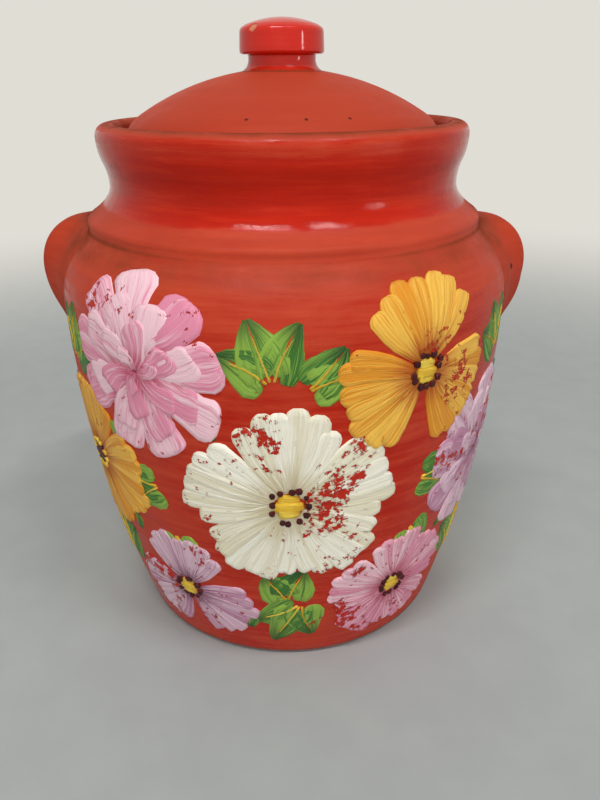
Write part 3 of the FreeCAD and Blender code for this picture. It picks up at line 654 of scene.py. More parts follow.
# %% Lug surface
LUG_CENTRE, LUG_RADIUS, LUG_HALF, LUG_REACH = 79.5, 24.5, 9.5, 104.0
LUG_TURNS, LUG_STRIPS, LOBE_POWER, FLAT_SIDE = 96, 65, 0.55, 0.05
SMEAR, SMEAR_FADE, SMEAR_STEP, UNDER_SKIN = 25.0, 3.4, 0.1, 3.0
TUCK_FROM, TUCK_OVER, TUCK_LEAST = 6.0, 24.0, 0.15


def signed_power(value, power):
    """A power that keeps the sign, as superellipses need."""
    return np.sign(value) * np.abs(value) ** power


def wall_radius(height):
    """Radius of the jar's outside at a height, from foot to rolled edge."""
    profile = np.vstack([outer_wall, soft_crease[1:]])
    return np.interp(height, profile[:, 1], profile[:, 0])


def lobe(side, squareness, drawn_up, middle):
    """Rings and poles of a lug about its middle height.

    In the disc's plane a point lies |cos b|^k r(a) from the centre, and across it |sin b|^k half the
    thickness. The outline r(a) swells by squareness at its upper outer corner, shrinks by drawn_up at the
    lower one and by FLAT_SIDE between them.
    """
    turns = np.linspace(0, 2 * np.pi, LUG_TURNS, endpoint=False)
    strips = np.linspace(-np.pi / 2, np.pi / 2, LUG_STRIPS)[1:-1]
    around, across = np.meshgrid(turns, strips, indexing="xy")
    slant = np.sin(2 * around)
    outline = 1.0 + slant * np.where(slant > 0, squareness, drawn_up)
    outline -= FLAT_SIDE * np.clip(np.cos(around), 0.0, 1.0) ** 4
    inward, aside = np.abs(np.cos(across)), np.sin(across)
    reach = LUG_RADIUS * outline * inward**LOBE_POWER
    depth = LUG_HALF * signed_power(aside, LOBE_POWER)
    lean_out = inward ** (2 - LOBE_POWER) / LUG_RADIUS
    lean_aside = signed_power(aside, 2 - LOBE_POWER) / LUG_HALF
    x = np.minimum(LUG_CENTRE + reach * np.cos(around), LUG_REACH)
    z = middle + reach * np.sin(around)

    out, turn = np.hypot(x, depth), np.arctan2(depth, x)
    wall = wall_radius(z) + wander(side * np.pi / 2, z)
    gap = np.clip(out - wall - SMEAR_STEP, 0.0, None)
    low = np.clip((middle + TUCK_FROM - z) / TUCK_OVER, 0.0, 1.0)
    tucked = TUCK_LEAST + (1.0 - TUCK_LEAST) * np.sqrt(1.0 - low**2)
    smear = SMEAR * tucked * np.exp(-gap / SMEAR_FADE) * lean_aside / np.hypot(lean_out, lean_aside)
    turn = turn + smear / out
    out = np.maximum(out, wall - UNDER_SKIN)
    rings = np.stack([side * out * np.cos(turn), out * np.sin(turn), z], axis=-1)

    skin = wall_radius(middle) - UNDER_SKIN
    pole_turn = math.atan2(LUG_HALF, LUG_CENTRE) + SMEAR / LUG_CENTRE
    pole_x, pole_y = side * skin * math.cos(pole_turn), skin * math.sin(pole_turn)
    return rings, np.array([[pole_x, -pole_y, middle], [pole_x, pole_y, middle]])


print("a lobe has", lobe(1, 0.0, 0.0, LUG_HEIGHT)[0].shape[:2], "points across and about it")

# %% [markdown]
# A lug wears the jar's paint, but dry all over. Painted shade with some dirt darkens its root, and dirt
# settles on its top. The right one has a small dent, made of two pits that overlap. The two lugs differ a
# little, as things made by hand do.

# %% Lug pieces
LUG_ROOT, TOP_SLOPE, TOP_FLAT = 3.2, 0.45, 0.95
DENT = ((92.9, -19.0, 156.2), 1.7), ((93.6, -17.9, 156.0), 1.6)


def lug(name, side, squareness, drawn_up, raised, node):
    """One lug on the left (side -1) or right (side 1), raised a little or lowered, with dirt, painted shade
    and dust stored.
    """
    points, faces = capped(*lobe(side, squareness, drawn_up, LUG_HEIGHT + raised), -side)
    piece = new_piece(name, points, faces, "jar", [lug_paint], [node])
    off_wall = np.hypot(points[:, 0], points[:, 1]) - wall_radius(points[:, 2])
    at_root = np.exp(-np.clip(off_wall, 0.0, None) / LUG_ROOT)
    upward = facing_up(piece)
    on_top = 0.3 * smooth_rise(upward, TOP_SLOPE, TOP_FLAT)
    # Painted shade with some dirt at the root and in the shade under the collar; dirt on top.
    store(piece, "grime_and_shade", (0.5 * round_lug(points) + 0.25 * under_collar(points)) * at_root + on_top)
    store(piece, "dust", 0.8 + 0.2 * np.clip(upward, 0.0, 1.0))
    store(piece, "dry", np.ones(len(points)))
    return piece


lug_paint = red_paint("lug_red_paint", JAR_ROUGHNESS, JAR_DUST, JAR_SHINE, pits=DENT)
left_lug = lug("left_lug_handle", -1, 0.065, 0.05, 0.4, "left_lug")
right_lug = lug("right_lug_handle", 1, 0.085, 0.01, -1.4, "right_lug")
print("lugs:", [(piece.name, len(piece.data.vertices)) for piece in (left_lug, right_lug)])

# %% [markdown]
# ## The lid
# The lid is a shallow dome whose edge drops into the gallery. Dust dulls it evenly, a brown of painted
# shade with some dirt darkens it round the foot of the knob and along its edge, and three small pits show
# near the front. It is turned like the jar: hollow and glazed below, bare where it sits on the ledge,
# painted above.

# %% Lid
DOME, LID, LID_EDGE_CURVE, LID_SIDE, LID_FOOT_EDGE = 105.0, 63.5, 16.0, 2.0, 1.0
LID_WALL, LID_HOLLOW, LID_SEAT_IN, LID_TURNS, LID_UNEVEN = 6.5, 56.7, 57.2, 224, 0.6
KNOB_FOOT, UNDER_KNOB, OFF_LEDGE = 15.6, 12.0, 0.02
KNOB_RING_FROM, KNOB_RING, EDGE_RING = 15.5, 2.2, 3.0
PIT_CIRCLE, PIT_HEIGHT, PIT_SIZE = 55.0, 215.1, 0.8

edge_centre = np.array([LID - LID_EDGE_CURVE, SEAT + LID_SIDE])
dome_drop = math.sqrt((DOME - LID_EDGE_CURVE) ** 2 - edge_centre[0] ** 2)
dome_centre = np.array([0.0, edge_centre[1] - dome_drop])
toward = (edge_centre - dome_centre) / np.linalg.norm(edge_centre - dome_centre)
dome_end = dome_centre + DOME * toward
crown = dome_centre[1] + math.sqrt(DOME**2 - KNOB_FOOT**2)
under_dome = DOME - LID_WALL
hollow_edge = dome_centre[1] + math.sqrt(under_dome**2 - LID_HOLLOW**2)
hollow_part = [
    bow(dome_centre, (0.0, dome_centre[1] + under_dome), (LID_HOLLOW, hollow_edge), 30),
    straight((LID_HOLLOW, hollow_edge - 1.0), (LID_HOLLOW, SEAT + 0.6), 6),
]
seat_part = [
    straight((LID_SEAT_IN, SEAT + OFF_LEDGE), (LID - LID_FOOT_EDGE, SEAT + OFF_LEDGE), 4),
    rounding((LID - LID_FOOT_EDGE, SEAT + LID_FOOT_EDGE), LID_FOOT_EDGE, -90, 0, 5)[1:],
]
dome_part = [
    bow(edge_centre, (LID, SEAT + LID_SIDE), dome_end, 18),
    bow(dome_centre, dome_end, (KNOB_FOOT - 1.5, crown + 0.2), 48)[1:],
    straight((UNDER_KNOB, crown + 0.1), (0.0, crown + 0.1), 5),
]
lid_section = np.vstack([*hollow_part, *seat_part, *dome_part])

pit_places = [(PIT_CIRCLE * math.sin(a), -PIT_CIRCLE * math.cos(a), PIT_HEIGHT) for a in (-0.22, 0.14, 0.42)]
lid_pits = [(spot, PIT_SIZE) for spot in pit_places]
lid_paint = red_paint("lid_red_paint", 0.2, 0.62, streaky=0.4, reds=LID_REDS, pits=lid_pits)
lid_finishes = [lid_paint, inside_glaze, bare_clay]
lid, lid_points = turned_piece(
    "lid_dome", lid_section, LID_TURNS, "lid", lid_finishes, ["lid"], LID_UNEVEN
)
seat_row = sum(map(len, hollow_part)) - 2
dome_row = seat_row + sum(map(len, seat_part))
finish_by_ring(lid, LID_TURNS, (GLAZE, BARE, PAINT), (0, seat_row, dome_row))
lid_radius = np.hypot(lid_points[:, 0], lid_points[:, 1])
off_knob = np.clip(lid_radius - KNOB_RING_FROM, 0, None)
# Painted shade with some dirt round the foot of the knob and along the lid's edge.
lid_grime_and_shade = 0.9 * bell(off_knob, KNOB_RING) * (lid_points[:, 2] > crown - 4.0)
lid_grime_and_shade += 0.55 * bell(lid_radius - LID, EDGE_RING)
store(lid, "grime_and_shade", lid_grime_and_shade)
store(lid, "dust", np.ones(len(lid_points)))
print("lid crown at", round(crown, 2), "mm, lid", LID * 2, "mm across")

# %% [markdown]
# ## The knob
# The knob is a mushroom with a tight waist, polished by fingers, with one chip in the edge of its cap. A
# spigot under it sits in the lid. The chip is both a dent in the mesh and a bare patch in the paint: colour
# alone would look printed, and a dent alone would look like soft clay.

# %% Knob
SPIGOT, SPIGOT_DEPTH, SKIRT_IN, SKIRT_OUT = 8.0, 2.8, 10.0, 17.6
WAIST, WAIST_CURVE, WAIST_HEIGHT = 13.1, 4.8, 4.2
CAP_UNDER, CAP_TOP, CAP_APEX = 5.8, 15.0, 18.6
CAP_FILLET, CAP, CAP_EDGE, CAP_CHORD, CAP_RISE, CAP_FLAT = 0.7, 16.4, 1.2, 16.15, 3.6, 14.2
CAP_NARROW, CAP_BEND, CAP_BEND_DROP, CAP_BEND_END = 16.2, 13.8, 1.75, (14.6, 0.55)
KNOB_TURNS, KNOB_UNEVEN, CHIP_SIZE, CHIP_DEPTH, CHIP_WIDTH = 128, 0.3, 2.4, 0.5, 1.7

cap_under, cap_top, apex = crown + CAP_UNDER, crown + CAP_TOP, crown + CAP_APEX
bend_height, bend_end = cap_top - CAP_BEND_DROP, (CAP_BEND_END[0], cap_top + CAP_BEND_END[1])
knob_curve = (CAP_CHORD**2 + CAP_RISE**2) / (2 * CAP_RISE)
knob_edge = apex - knob_curve + math.sqrt(knob_curve**2 - CAP_FLAT**2)
knob_section = np.vstack(
    [
        straight((0.0, crown - SPIGOT_DEPTH), (SPIGOT, crown - SPIGOT_DEPTH), 4),
        straight((SPIGOT, crown - 2.0), (SPIGOT, crown), 3),
        straight((SKIRT_IN, crown - 0.3), (SKIRT_OUT, crown - 0.8), 4),
        rounding((WAIST + WAIST_CURVE, crown + WAIST_HEIGHT), WAIST_CURVE, -90, -180, 12),
        straight((WAIST, crown + 4.4), (WAIST, cap_under - CAP_FILLET), 3),
        rounding((WAIST + CAP_FILLET, cap_under - CAP_FILLET), CAP_FILLET, 180, 90, 4)[1:],
        rounding((CAP - CAP_EDGE, cap_under + CAP_EDGE), CAP_EDGE, -90, 0, 7),
        straight((CAP, cap_under + 2.0), (CAP_NARROW, cap_top - 2.2), 6),
        bow((CAP_BEND, bend_height), (CAP_NARROW, bend_height), bend_end, 8)[1:],
        bow((0.0, apex - knob_curve), (CAP_FLAT, knob_edge), (0.0, apex), 14),
    ]
)
chip_spot = np.array([-10.6, -11.6, cap_top - 0.2])
chips = [(chip_spot.tolist(), CHIP_SIZE)]
knob_paint = red_paint("knob_red_paint", 0.08, shine=0.36, streaky=0.35, reds=KNOB_REDS, chips=chips)
knob, knob_points = turned_piece(
    "knob", knob_section, KNOB_TURNS, "lid", [knob_paint], ["lid_knob"], KNOB_UNEVEN
)
dent = CHIP_DEPTH * bell(np.linalg.norm(knob_points - chip_spot, axis=1), CHIP_WIDTH)
inward = np.array([0.0, 0.0, cap_under]) - chip_spot
knob_points += dent[:, None] * inward / np.linalg.norm(inward)
knob.data.vertices.foreach_set("co", (knob_points * MM).ravel())
# Painted shade with some dirt where the knob meets the lid.
store(knob, "grime_and_shade", 0.6 * bell(np.clip(knob_points[:, 2] - crown, 0, None), 1.2))
print("knob top at", round(apex, 2), "mm, cap", CAP * 2, "mm across")

# %% [markdown]
# ## Brushwork
# The flowers are oil paint laid on thick: every petal is a few loads of the brush, pressed down at the tip
# and dragged towards the heart, so it stands proud of the wall with a raised edge, a bead where the brush
# landed and furrows from the bristles. A flat colour mask cannot give that. Here a stroke is a small
# surface of its own: a bent centre line, a width that rounds off at both ends and thins on the way, and a
# height across and along it. Hundreds of strokes are worked out together, one array axis each for stroke,
# length and width.


# %% One stroke
class Stroke(NamedTuple):
    """One load of the brush, in millimetres on the unrolled wall about a spot at an angle and a height.

    It runs from (x0, y0) to (x1, y1), bent aside in the middle by bend. half is its half width, which thins
    to the share tail and rounds off within the shares tip and heel of its length. thick is its own paint and
    lift the paint under it. tone, from 0 to 1, sets its colour and furrows apart from its neighbours'.
    """

    turn: float
    height: float
    x0: float
    y0: float
    x1: float
    y1: float
    bend: float
    half: float
    thick: float
    tail: float
    tip: float
    heel: float
    lift: float
    tone: float


FURROWS, FURROW_SHIFT, FURROW_DRIFT = ((1.7, 0.14), (2.9, 0.18)), 45.844, 1.2
RIDGE_PLACE, RIDGE_WIDTH, SKIRT_DEPTH, LEAST_WIDTH = 0.84, 0.13, 0.3, 0.03


def stroke_rows(tip, heel, steps):
    """Places along a stroke, 0 to 1: equal turns round its landing and leaving, equal steps between them."""
    landing_steps, body_steps, leaving_steps = steps
    landing = tip * (1 - np.cos(np.linspace(0.0, np.pi / 2, landing_steps)))[None, :, None]
    leaving = 1 - heel * (1 - np.cos(np.linspace(np.pi / 2, 0.0, leaving_steps)))[None, :, None]
    share = np.linspace(0.0, 1.0, body_steps + 2)[None, 1:-1, None]
    return np.concatenate([landing, tip + share * (1 - heel - tip), leaving], axis=1)


def stroke_path(field, along):
    """Centre line and heading: the chord at t plus 4 t (1 - t) times the bend, and the slope of that."""
    chord_x, chord_y = field["x1"] - field["x0"], field["y1"] - field["y0"]
    chord = np.hypot(chord_x, chord_y)
    bow_x, bow_y = chord_y / chord * field["bend"], -chord_x / chord * field["bend"]
    swing = 4 * along * (1 - along)
    path_x = field["x0"] + chord_x * along + bow_x * swing
    path_y = field["y0"] + chord_y * along + bow_y * swing
    head_x, head_y = (c + 4 * b * (1 - 2 * along) for c, b in ((chord_x, bow_x), (chord_y, bow_y)))
    head = np.hypot(head_x, head_y)
    return path_x, path_y, head_x / head, head_y / head


def quarter_round(share):
    """Rises from 0 to 1 as a quarter of a circle while the share goes from 0 to 1, and stays there."""
    return np.sqrt(np.clip(1 - np.clip(1 - share, 0, 1) ** 2, 0, 1))


def stroke_width(field, along):
    """Half width: rounded at the landing and the leaving, tapered between, its edge ragged by two waves."""
    landing, leaving = quarter_round(along / field["tip"]), quarter_round((1 - along) / field["heel"])
    taper = 1 - (1 - field["tail"]) * along**1.3
    tone = field["tone"]
    ragged = 1 + 0.05 * np.sin(11 * along + 40 * tone) + 0.04 * np.sin(23 * along + 90 * tone)
    return field["half"] * np.maximum(landing * leaving * taper * ragged, LEAST_WIDTH)


def stroke_height(field, along, across):
    """Height over the wall: raised edges, a bead where the brush landed, furrows, a skirt into the wall."""
    furrows = sum(
        depth * np.cos(np.pi * count * across + FURROW_SHIFT * count * field["tone"] + FURROW_DRIFT * along)
        for count, depth in FURROWS
    )
    edge_ridge = 0.55 + 0.6 * bell(np.abs(across) - RIDGE_PLACE, RIDGE_WIDTH)
    bead = 1 + 0.7 * bell(along, 0.6 * field["tip"]) - 0.45 * along
    skirt = (1 - np.abs(across) ** 10) * np.clip(along / 0.04, 0, 1) * np.clip((1 - along) / 0.05, 0, 1)
    paint = field["lift"] + field["thick"] * (edge_ridge * bead + furrows)
    return paint * skirt - SKIRT_DEPTH * (1 - skirt)


print("a stroke is described by", len(Stroke._fields), "numbers")

# %% [markdown]
# A stroke is drawn flat and then laid on the wall: across it becomes an angle about the axis, up it a
# length along the wall's curve, and its height moves it out along the wall's normal. A Shrinkwrap modifier
# could lay a flat mesh on the jar too, but it would press the ridges flat.

# %% Strokes on the wall
FOOT_MARGIN, CREASE_MARGIN = 1.0, 0.6
wall_steps = np.hypot(*np.diff(outer_wall, axis=0).T)
wall_length = np.concatenate([[0.0], np.cumsum(wall_steps)])
wall_slope = np.gradient(outer_wall, wall_length, axis=0)


def on_wall(turn, length, proud):
    """A point on the jar's wall at an angle and a length up the wall, moved out along the wall's normal."""
    radius, height, along_r, along_z = (
        np.interp(length, wall_length, column) for column in (*outer_wall.T, *wall_slope.T)
    )
    radius = radius + wander(turn, height) + proud * along_z
    return np.stack([radius * np.sin(turn), -radius * np.cos(turn), height - proud * along_r], axis=-1)


def stroke_faces(number, rows, columns):
    """Quads over the grid of every stroke, and one face under each that follows its border."""
    size = rows * columns
    grid = np.arange(size).reshape(rows, columns)
    corner = grid[:-1, :-1].ravel()
    quads = np.stack([corner, corner + 1, corner + columns + 1, corner + columns], axis=-1)
    border = np.concatenate([grid[0, :-1], grid[:-1, -1], grid[-1, :0:-1], grid[:0:-1, 0]])[::-1]
    starts = (np.arange(number) * size)[:, None]
    return [*(quads[None] + starts[..., None]).reshape(-1, 4).tolist(), *(border[None] + starts).tolist()]


def brushwork(name, strokes, steps, columns, material):
    """All strokes of one colour as one mesh, which keeps each point's place across and along its stroke."""
    field = {key: column[:, None, None] for key, column in zip(Stroke._fields, np.array(strokes).T)}
    along = stroke_rows(field["tip"], field["heel"], steps)
    across = np.sin(np.linspace(-np.pi / 2, np.pi / 2, columns))[None, None, :]
    path_x, path_y, head_x, head_y = stroke_path(field, along)
    width = stroke_width(field, along)
    x, y = path_x + head_y * across * width, path_y - head_x * across * width
    middle = np.interp(field["height"], outer_wall[:, 1], wall_length)
    length = np.clip(middle + y, FOOT_MARGIN, wall_length[-1] - CREASE_MARGIN)
    radius = np.interp(length, wall_length, outer_wall[:, 0])
    points = on_wall(field["turn"] + x / radius, length, stroke_height(field, along, across))
    faces = stroke_faces(len(strokes), sum(steps), columns)
    piece = new_piece(name, points.reshape(-1, 3), faces, "jar", [material], ["painted_flowers"])
    for key, values in (("across", across), ("along", along), ("tone", field["tone"])):
        store(piece, key, np.broadcast_to(values, points.shape[:3]))
    return piece


print("wall is", round(float(wall_length[-1]), 1), "mm long from foot to crease")

# %% [markdown]
# ## Oil colours
# Each colour is three mixes of one pigment. Bristles leave them side by side as streaks along the stroke,
# and the heart end is darker. With age the paint has flaked: small chips, in clusters, show the red coat.
# The streaks follow the stroke's own two parameters, stored on the mesh; the chips follow the jar. A
# painted image could show the same streaks, but it would blur close up.

# %% Oil paint
# light, middle and dark mix, how far it has flaked, how far the heart is darker
OILS = {
    "cream": ((246, 242, 226), (230, 222, 194), (190, 168, 112), 1.1, 0.55),
    "pink": ((242, 200, 210), (224, 138, 164), (184, 56, 88), 0.9, 0.75),
    "mauve": ((226, 192, 206), (188, 130, 158), (118, 52, 86), 1.0, 0.75),
    "gold": ((240, 188, 78), (222, 144, 36), (174, 68, 18), 0.4, 0.85),
    "leaf": ((140, 176, 70), (58, 112, 44), (20, 58, 30), 0.2, 0.7),
    "yellow": ((246, 214, 84), (232, 184, 48), (206, 132, 28), 0.0, 0.4),
    "maroon": ((96, 30, 30), (66, 18, 22), (36, 10, 14), 0.0, 0.4),
}
OIL_RELIEF, OIL_SHINE = 0.0007, 0.3


def oil_paint(name, light, middle, dark, flaked, heart):
    """Streaked thick paint: three mixes by bristle noise, darker at the heart, chipped down to the red."""
    material, tree = new_finish(name)
    light, middle, dark = (pigment(*mix) for mix in (light, middle, dark))
    across, along, tone = (attribute(tree, key) for key in ("across", "along", "tone"))
    wide = {0: across * 4.0 + tone * 61.0, 1: along * 0.9, 2: tone * 47.0}
    narrow = {0: across * 11.0 + tone * 29.0, 1: along * 1.3, 2: tone * 83.0}
    broad = noise(tree, Shade.node(tree, "CombineXYZ", None, wide), 1.0, 2.0)
    fine = noise(tree, Shade.node(tree, "CombineXYZ", None, narrow), 1.0, 3.0, 0.6)
    spot = place(tree)
    flakes = noise(tree, spot, 330.0, 4.0, 0.65) * 0.75 + fine * 0.25
    cluster = noise(tree, spot, 34.0, 2.0)
    streak = broad * 0.55 + fine * 0.45
    shift = Shade.sum("FRACT", tone * 17.3)
    colour = (streak + (shift - 0.5) * 0.22).rise(0.40, 0.60).blend(middle, light)
    deep = (along.rise(0.35, 1.0) * 0.75 + (0.62 - streak) * 1.3).rise(0.25, 1.0) * heart
    colour = deep.blend(colour, dark)
    bare = (flakes + (cluster - 0.5) * 0.8).rise(0.72 - 0.12 * flaked, 0.75 - 0.12 * flaked)
    colour = bare.blend(colour, JAR_REDS[1])
    rough = 0.46 + (fine - 0.5) * 0.3 - bare * 0.06
    set_shader(tree, colour, rough, fine * 0.6 + broad * 0.4 - bare * 0.5, OIL_RELIEF, OIL_SHINE)
    return material


oils = {colour: oil_paint(f"{colour}_oil", *mixes) for colour, mixes in OILS.items()}
print("oil colours:", [paint.name for paint in oils.values()])

# %% [markdown]
# ## Blooms and leaves
# The decoration is a plain garland of country flowers: open wild roses with notched petals, full roses of
# curling comma strokes, poppies and three-petalled trilliums, with sprays of leaves between them. Each
# flower is a short recipe that returns its strokes, so a hand can place it anywhere on the wall at any
# size. A small slip of the hand goes into every stroke, from one seeded source, so that the jar is the same
# each time.

# %% Flower recipes
hand = np.random.default_rng(41)
PETAL_THICK, PETAL_TAIL, PETAL_TIP, PETAL_HEEL = 0.6, 0.4, 0.15, 0.08
# strokes in the ring, then their outer end, inner end and half width as shares of the size
ROSE_RINGS = ((9, 1.0, 0.3, 0.30), (8, 0.78, 0.16, 0.25), (6, 0.52, 0.05, 0.19), (3, 0.26, 0.02, 0.11))
NOTCH, NOTCH_WIDTH, ROOT = 0.07, 0.3, 0.12


def polar(radius, angle):
    """Across and up from the heart of a flower."""
    return radius * math.cos(angle), radius * math.sin(angle)


def loose(amount):
    """A small slip of the hand."""
    return float(hand.normal(0.0, amount))


def petal(spot, size, aim, spread, count, half, lift):
    """One broad petal: strokes fan over its rim, outer ones first, and all meet at its root."""
    strokes = []
    for on_rim in sorted(np.linspace(-1, 1, count), key=lambda k: -abs(k)):
        angle = aim + spread * on_rim + loose(0.02)
        reach = size * (1 - 0.13 * on_rim**2 - NOTCH * bell(on_rim, NOTCH_WIDTH) + loose(0.02))
        ends = (*polar(reach, angle), *polar(ROOT * size, aim + 0.5 * spread * on_rim))
        shape = (0.05 * size * on_rim, half * size, PETAL_THICK, PETAL_TAIL, PETAL_TIP, PETAL_HEEL)
        layer = 0.35 + lift + 0.1 * (1 - abs(on_rim))
        strokes.append(Stroke(*spot, *ends, *shape, layer, hand.random()))
    return strokes


def open_flower(spot, size, petals, spread, count, half):
    """Broad petals round a heart, the first one upright, every second one laid higher."""
    strokes = []
    for k in range(petals):
        aim = math.pi / 2 + k * math.tau / petals + loose(0.05)
        strokes += petal(spot, size, aim, spread, count, half, 0.05 * (k % 2))
    return strokes


def full_rose(spot, size):
    """Rings of comma strokes that curl one way, the inner rings on top."""
    strokes = []
    for ring, (count, outer, inner, half) in enumerate(ROSE_RINGS):
        for k in range(count):
            angle = math.pi / 2 + math.tau * (k + 0.5 * ring) / count + loose(0.05)
            ends = (*polar(size * outer * (1 + loose(0.025)), angle), *polar(size * inner, angle + 0.5))
            shape = (-0.07 * size, half * size, PETAL_THICK, 0.42, 0.2, 0.1)
            strokes.append(Stroke(*spot, *ends, *shape, 0.3 + 0.16 * ring + 0.02 * k, hand.random()))
    return strokes


print("a full rose takes", len(full_rose((0.0, 90.0), 40.0)), "strokes")

# %% [markdown]
# Leaves are pairs of comma strokes with a thin vein. A heart is three short strokes in a ring of dots. Dots
# and small dabs are single touches of the brush.


# %% Leaf and heart recipes
def leaf(spot, start, end, half, bend):
    """Two comma strokes side by side, pointed at the tip, and a thin vein between them."""
    (x0, y0), (x1, y1) = start, end
    length = math.hypot(x1 - x0, y1 - y0)
    side_x, side_y = (y1 - y0) / length * half * 0.5, -(x1 - x0) / length * half * 0.5
    blades = []
    for side in (-1, 1):
        ends = (x0 + side * side_x, y0 + side * side_y, x1, y1)
        shape = (bend + side * half * 0.16, half * 0.66, 0.4, 0.12, 0.42, 0.2)
        blades.append(Stroke(*spot, *ends, *shape, 0.02, hand.random()))
    vein_ends = (x0, y0, 0.25 * x0 + 0.75 * x1, 0.25 * y0 + 0.75 * y1)
    vein = Stroke(*spot, *vein_ends, bend * 0.9, 0.5, 0.25, 0.3, 0.05, 0.1, 0.45, hand.random())
    return blades, [vein]


def spray(spot, length, aim, leaves, half):
    """Leaves that fan out from one point, the middle one painted last."""
    blades, veins = [], []
    for k in sorted(range(leaves), key=lambda k: -abs(k - (leaves - 1) / 2)):
        offset = k - (leaves - 1) / 2
        angle = aim + 0.68 * offset + loose(0.1)
        reach = length * (1 - 0.14 * abs(offset)) * (1 + loose(0.08))
        ends = polar(0.06 * length, angle), polar(reach, angle)
        more_blades, more_veins = leaf(spot, *ends, half * (1 + loose(0.06)), 1.2 * offset)
        blades += more_blades
        veins += more_veins
    return blades, veins


def daub(spot, x, y, radius, lift, thick):
    """A round touch of the brush."""
    ends = (x, y + radius, x, y - radius)
    return Stroke(*spot, *ends, 0.0, radius, thick, 1.0, 0.44, 0.44, lift, hand.random())


def dab(spot, length):
    """A short oval touch, set down at any slant."""
    angle = 1.2 + loose(0.7)
    ends = (*polar(0.5 * length, angle), *polar(-0.5 * length, angle))
    return Stroke(*spot, *ends, loose(0.4), 0.3 * length, 0.4, 0.7, 0.35, 0.35, 0.0, hand.random())


def heart(spot, size, count, radius, lift):
    """A flat heart of three short strokes side by side, and a ring of dots about it."""
    middle = []
    for k, (rise, reach) in enumerate(((0.55, 0.72), (-0.55, 0.72), (0.0, 1.0))):
        ends = (-reach * size, rise * size, reach * size, rise * size + loose(0.4))
        shape = (loose(0.4), 0.46 * size, 0.5, 0.8, 0.3, 0.3)
        middle.append(Stroke(*spot, *ends, *shape, lift + 0.12 * k, hand.random()))
    dots = []
    for k in range(count):
        x, y = polar(size * 1.25 * (1 + loose(0.08)), math.tau * k / count + loose(0.12))
        dots.append(daub(spot, x, y, radius * (1 + loose(0.12)), lift + 0.3, 0.7))
    return middle, dots


print("more recipes:", [recipe.__name__ for recipe in (leaf, spray, daub, dab, heart)])

# %% [markdown]
# ## The garland
# Eighteen flowers go round the wall in three staggered rows, from just under the crease to the foot: nine,
# and the same nine again half a turn on. Leaves fill the gaps. Every spot is an angle from the front and a
# height. Loads of the brush are collected by colour, one mesh per colour, so that a colour can be changed
# as a whole.

# %% Laying out the garland
UPPER, MIDDLE, LOWER = 136.0, 88.0, 36.0
LARGE, USUAL, SMALL, UNDER_LUG = 42.0, 35.0, 31.0, 27.0
LEAF_HALF, DAB_LENGTH = 9.0, 9.5
HEART_SHARE, HEART_DOTS, DOT_RADIUS, HEART_LIFT = 0.14, 12, 1.2, 0.7
# petals, half the spread of one in radians, strokes in it, half width of a stroke as a share of the size
KINDS = {"wild rose": (5, 0.45, 6, 0.115), "poppy": (4, 0.60, 8, 0.125), "trillium": (3, 0.66, 7, 0.135)}
# kind, colour, degrees from the front, height, size
FLOWERS = (
    ("wild rose", "cream", 90.0, MIDDLE, UNDER_LUG),
    ("poppy", "gold", 90.0, LOWER, SMALL),
    ("full rose", "pink", -34.0, UPPER, USUAL),
    ("trillium", "gold", 31.0, UPPER, USUAL),
    ("poppy", "gold", -59.0, MIDDLE, USUAL),
    ("full rose", "mauve", 59.0, MIDDLE, USUAL),
    ("trillium", "mauve", -31.0, LOWER, SMALL),
    ("wild rose", "pink", 31.0, LOWER, SMALL),
    ("wild rose", "cream", 0.0, MIDDLE, LARGE),
)
# degrees from the front, height, length, aim in degrees, number of leaves
SPRAYS = (
    (-3, 136, 30, 112, 3), (4, 134, 20, 40, 2), (3, 35, 26, 250, 3), (-1, 37, 22, 95, 2),
    (-33, 88, 21, 200, 2), (33, 90, 22, 350, 2), (-60, 34, 28, 90, 3), (61, 34, 28, 80, 3),
    (-62, 128, 26, 70, 3), (62, 130, 26, 110, 3), (-31, 66, 20, 270, 2), (33, 67, 18, 300, 2),
    (90, 60, 16, 20, 2), (90, 118, 14, 90, 3),
)
# degrees from the front, height
DABS = (
    (-17, 118), (16, 120), (-46, 106), (46, 108), (-12, 22), (14, 60),
    (47, 60), (-46, 62), (-74, 60), (75, 62), (-73, 112), (73, 114),
)
loads = {colour: [] for colour in OILS}


def plant(kind, colour, degrees, height, size):
    """Adds one flower at an angle and height, with the heart that its kind has."""
    spot = (math.radians(degrees), height)
    if kind == "full rose":
        loads[colour].extend(full_rose(spot, size))
        return
    loads[colour].extend(open_flower(spot, size, *KINDS[kind]))
    middle, dots = heart(spot, HEART_SHARE * size, HEART_DOTS, DOT_RADIUS, HEART_LIFT)
    middle_colour, dot_colour = ("maroon", "yellow") if kind == "poppy" else ("yellow", "maroon")
    loads[middle_colour].extend(middle)
    loads[dot_colour].extend(dots)


for half_turn in (0.0, 180.0):
    for degrees, height, length, aim, leaves in SPRAYS:
        spot = (math.radians(half_turn + degrees), float(height))
        blades, veins = spray(spot, length, math.radians(aim), leaves, LEAF_HALF)
        loads["leaf"].extend(blades)
        loads["yellow"].extend(veins)
    for degrees, height in DABS:
        loads["leaf"].append(dab((math.radians(half_turn + degrees), float(height)), DAB_LENGTH))
    for kind, colour, degrees, height, size in FLOWERS:
        plant(kind, colour, half_turn + degrees, height, size)
print("strokes:", {colour: len(strokes) for colour, strokes in loads.items()})

# %% [markdown]
# Each colour becomes one mesh. Broad petals get more rows and columns than thin veins and small dots, so
# that faces go where a ridge can be seen.

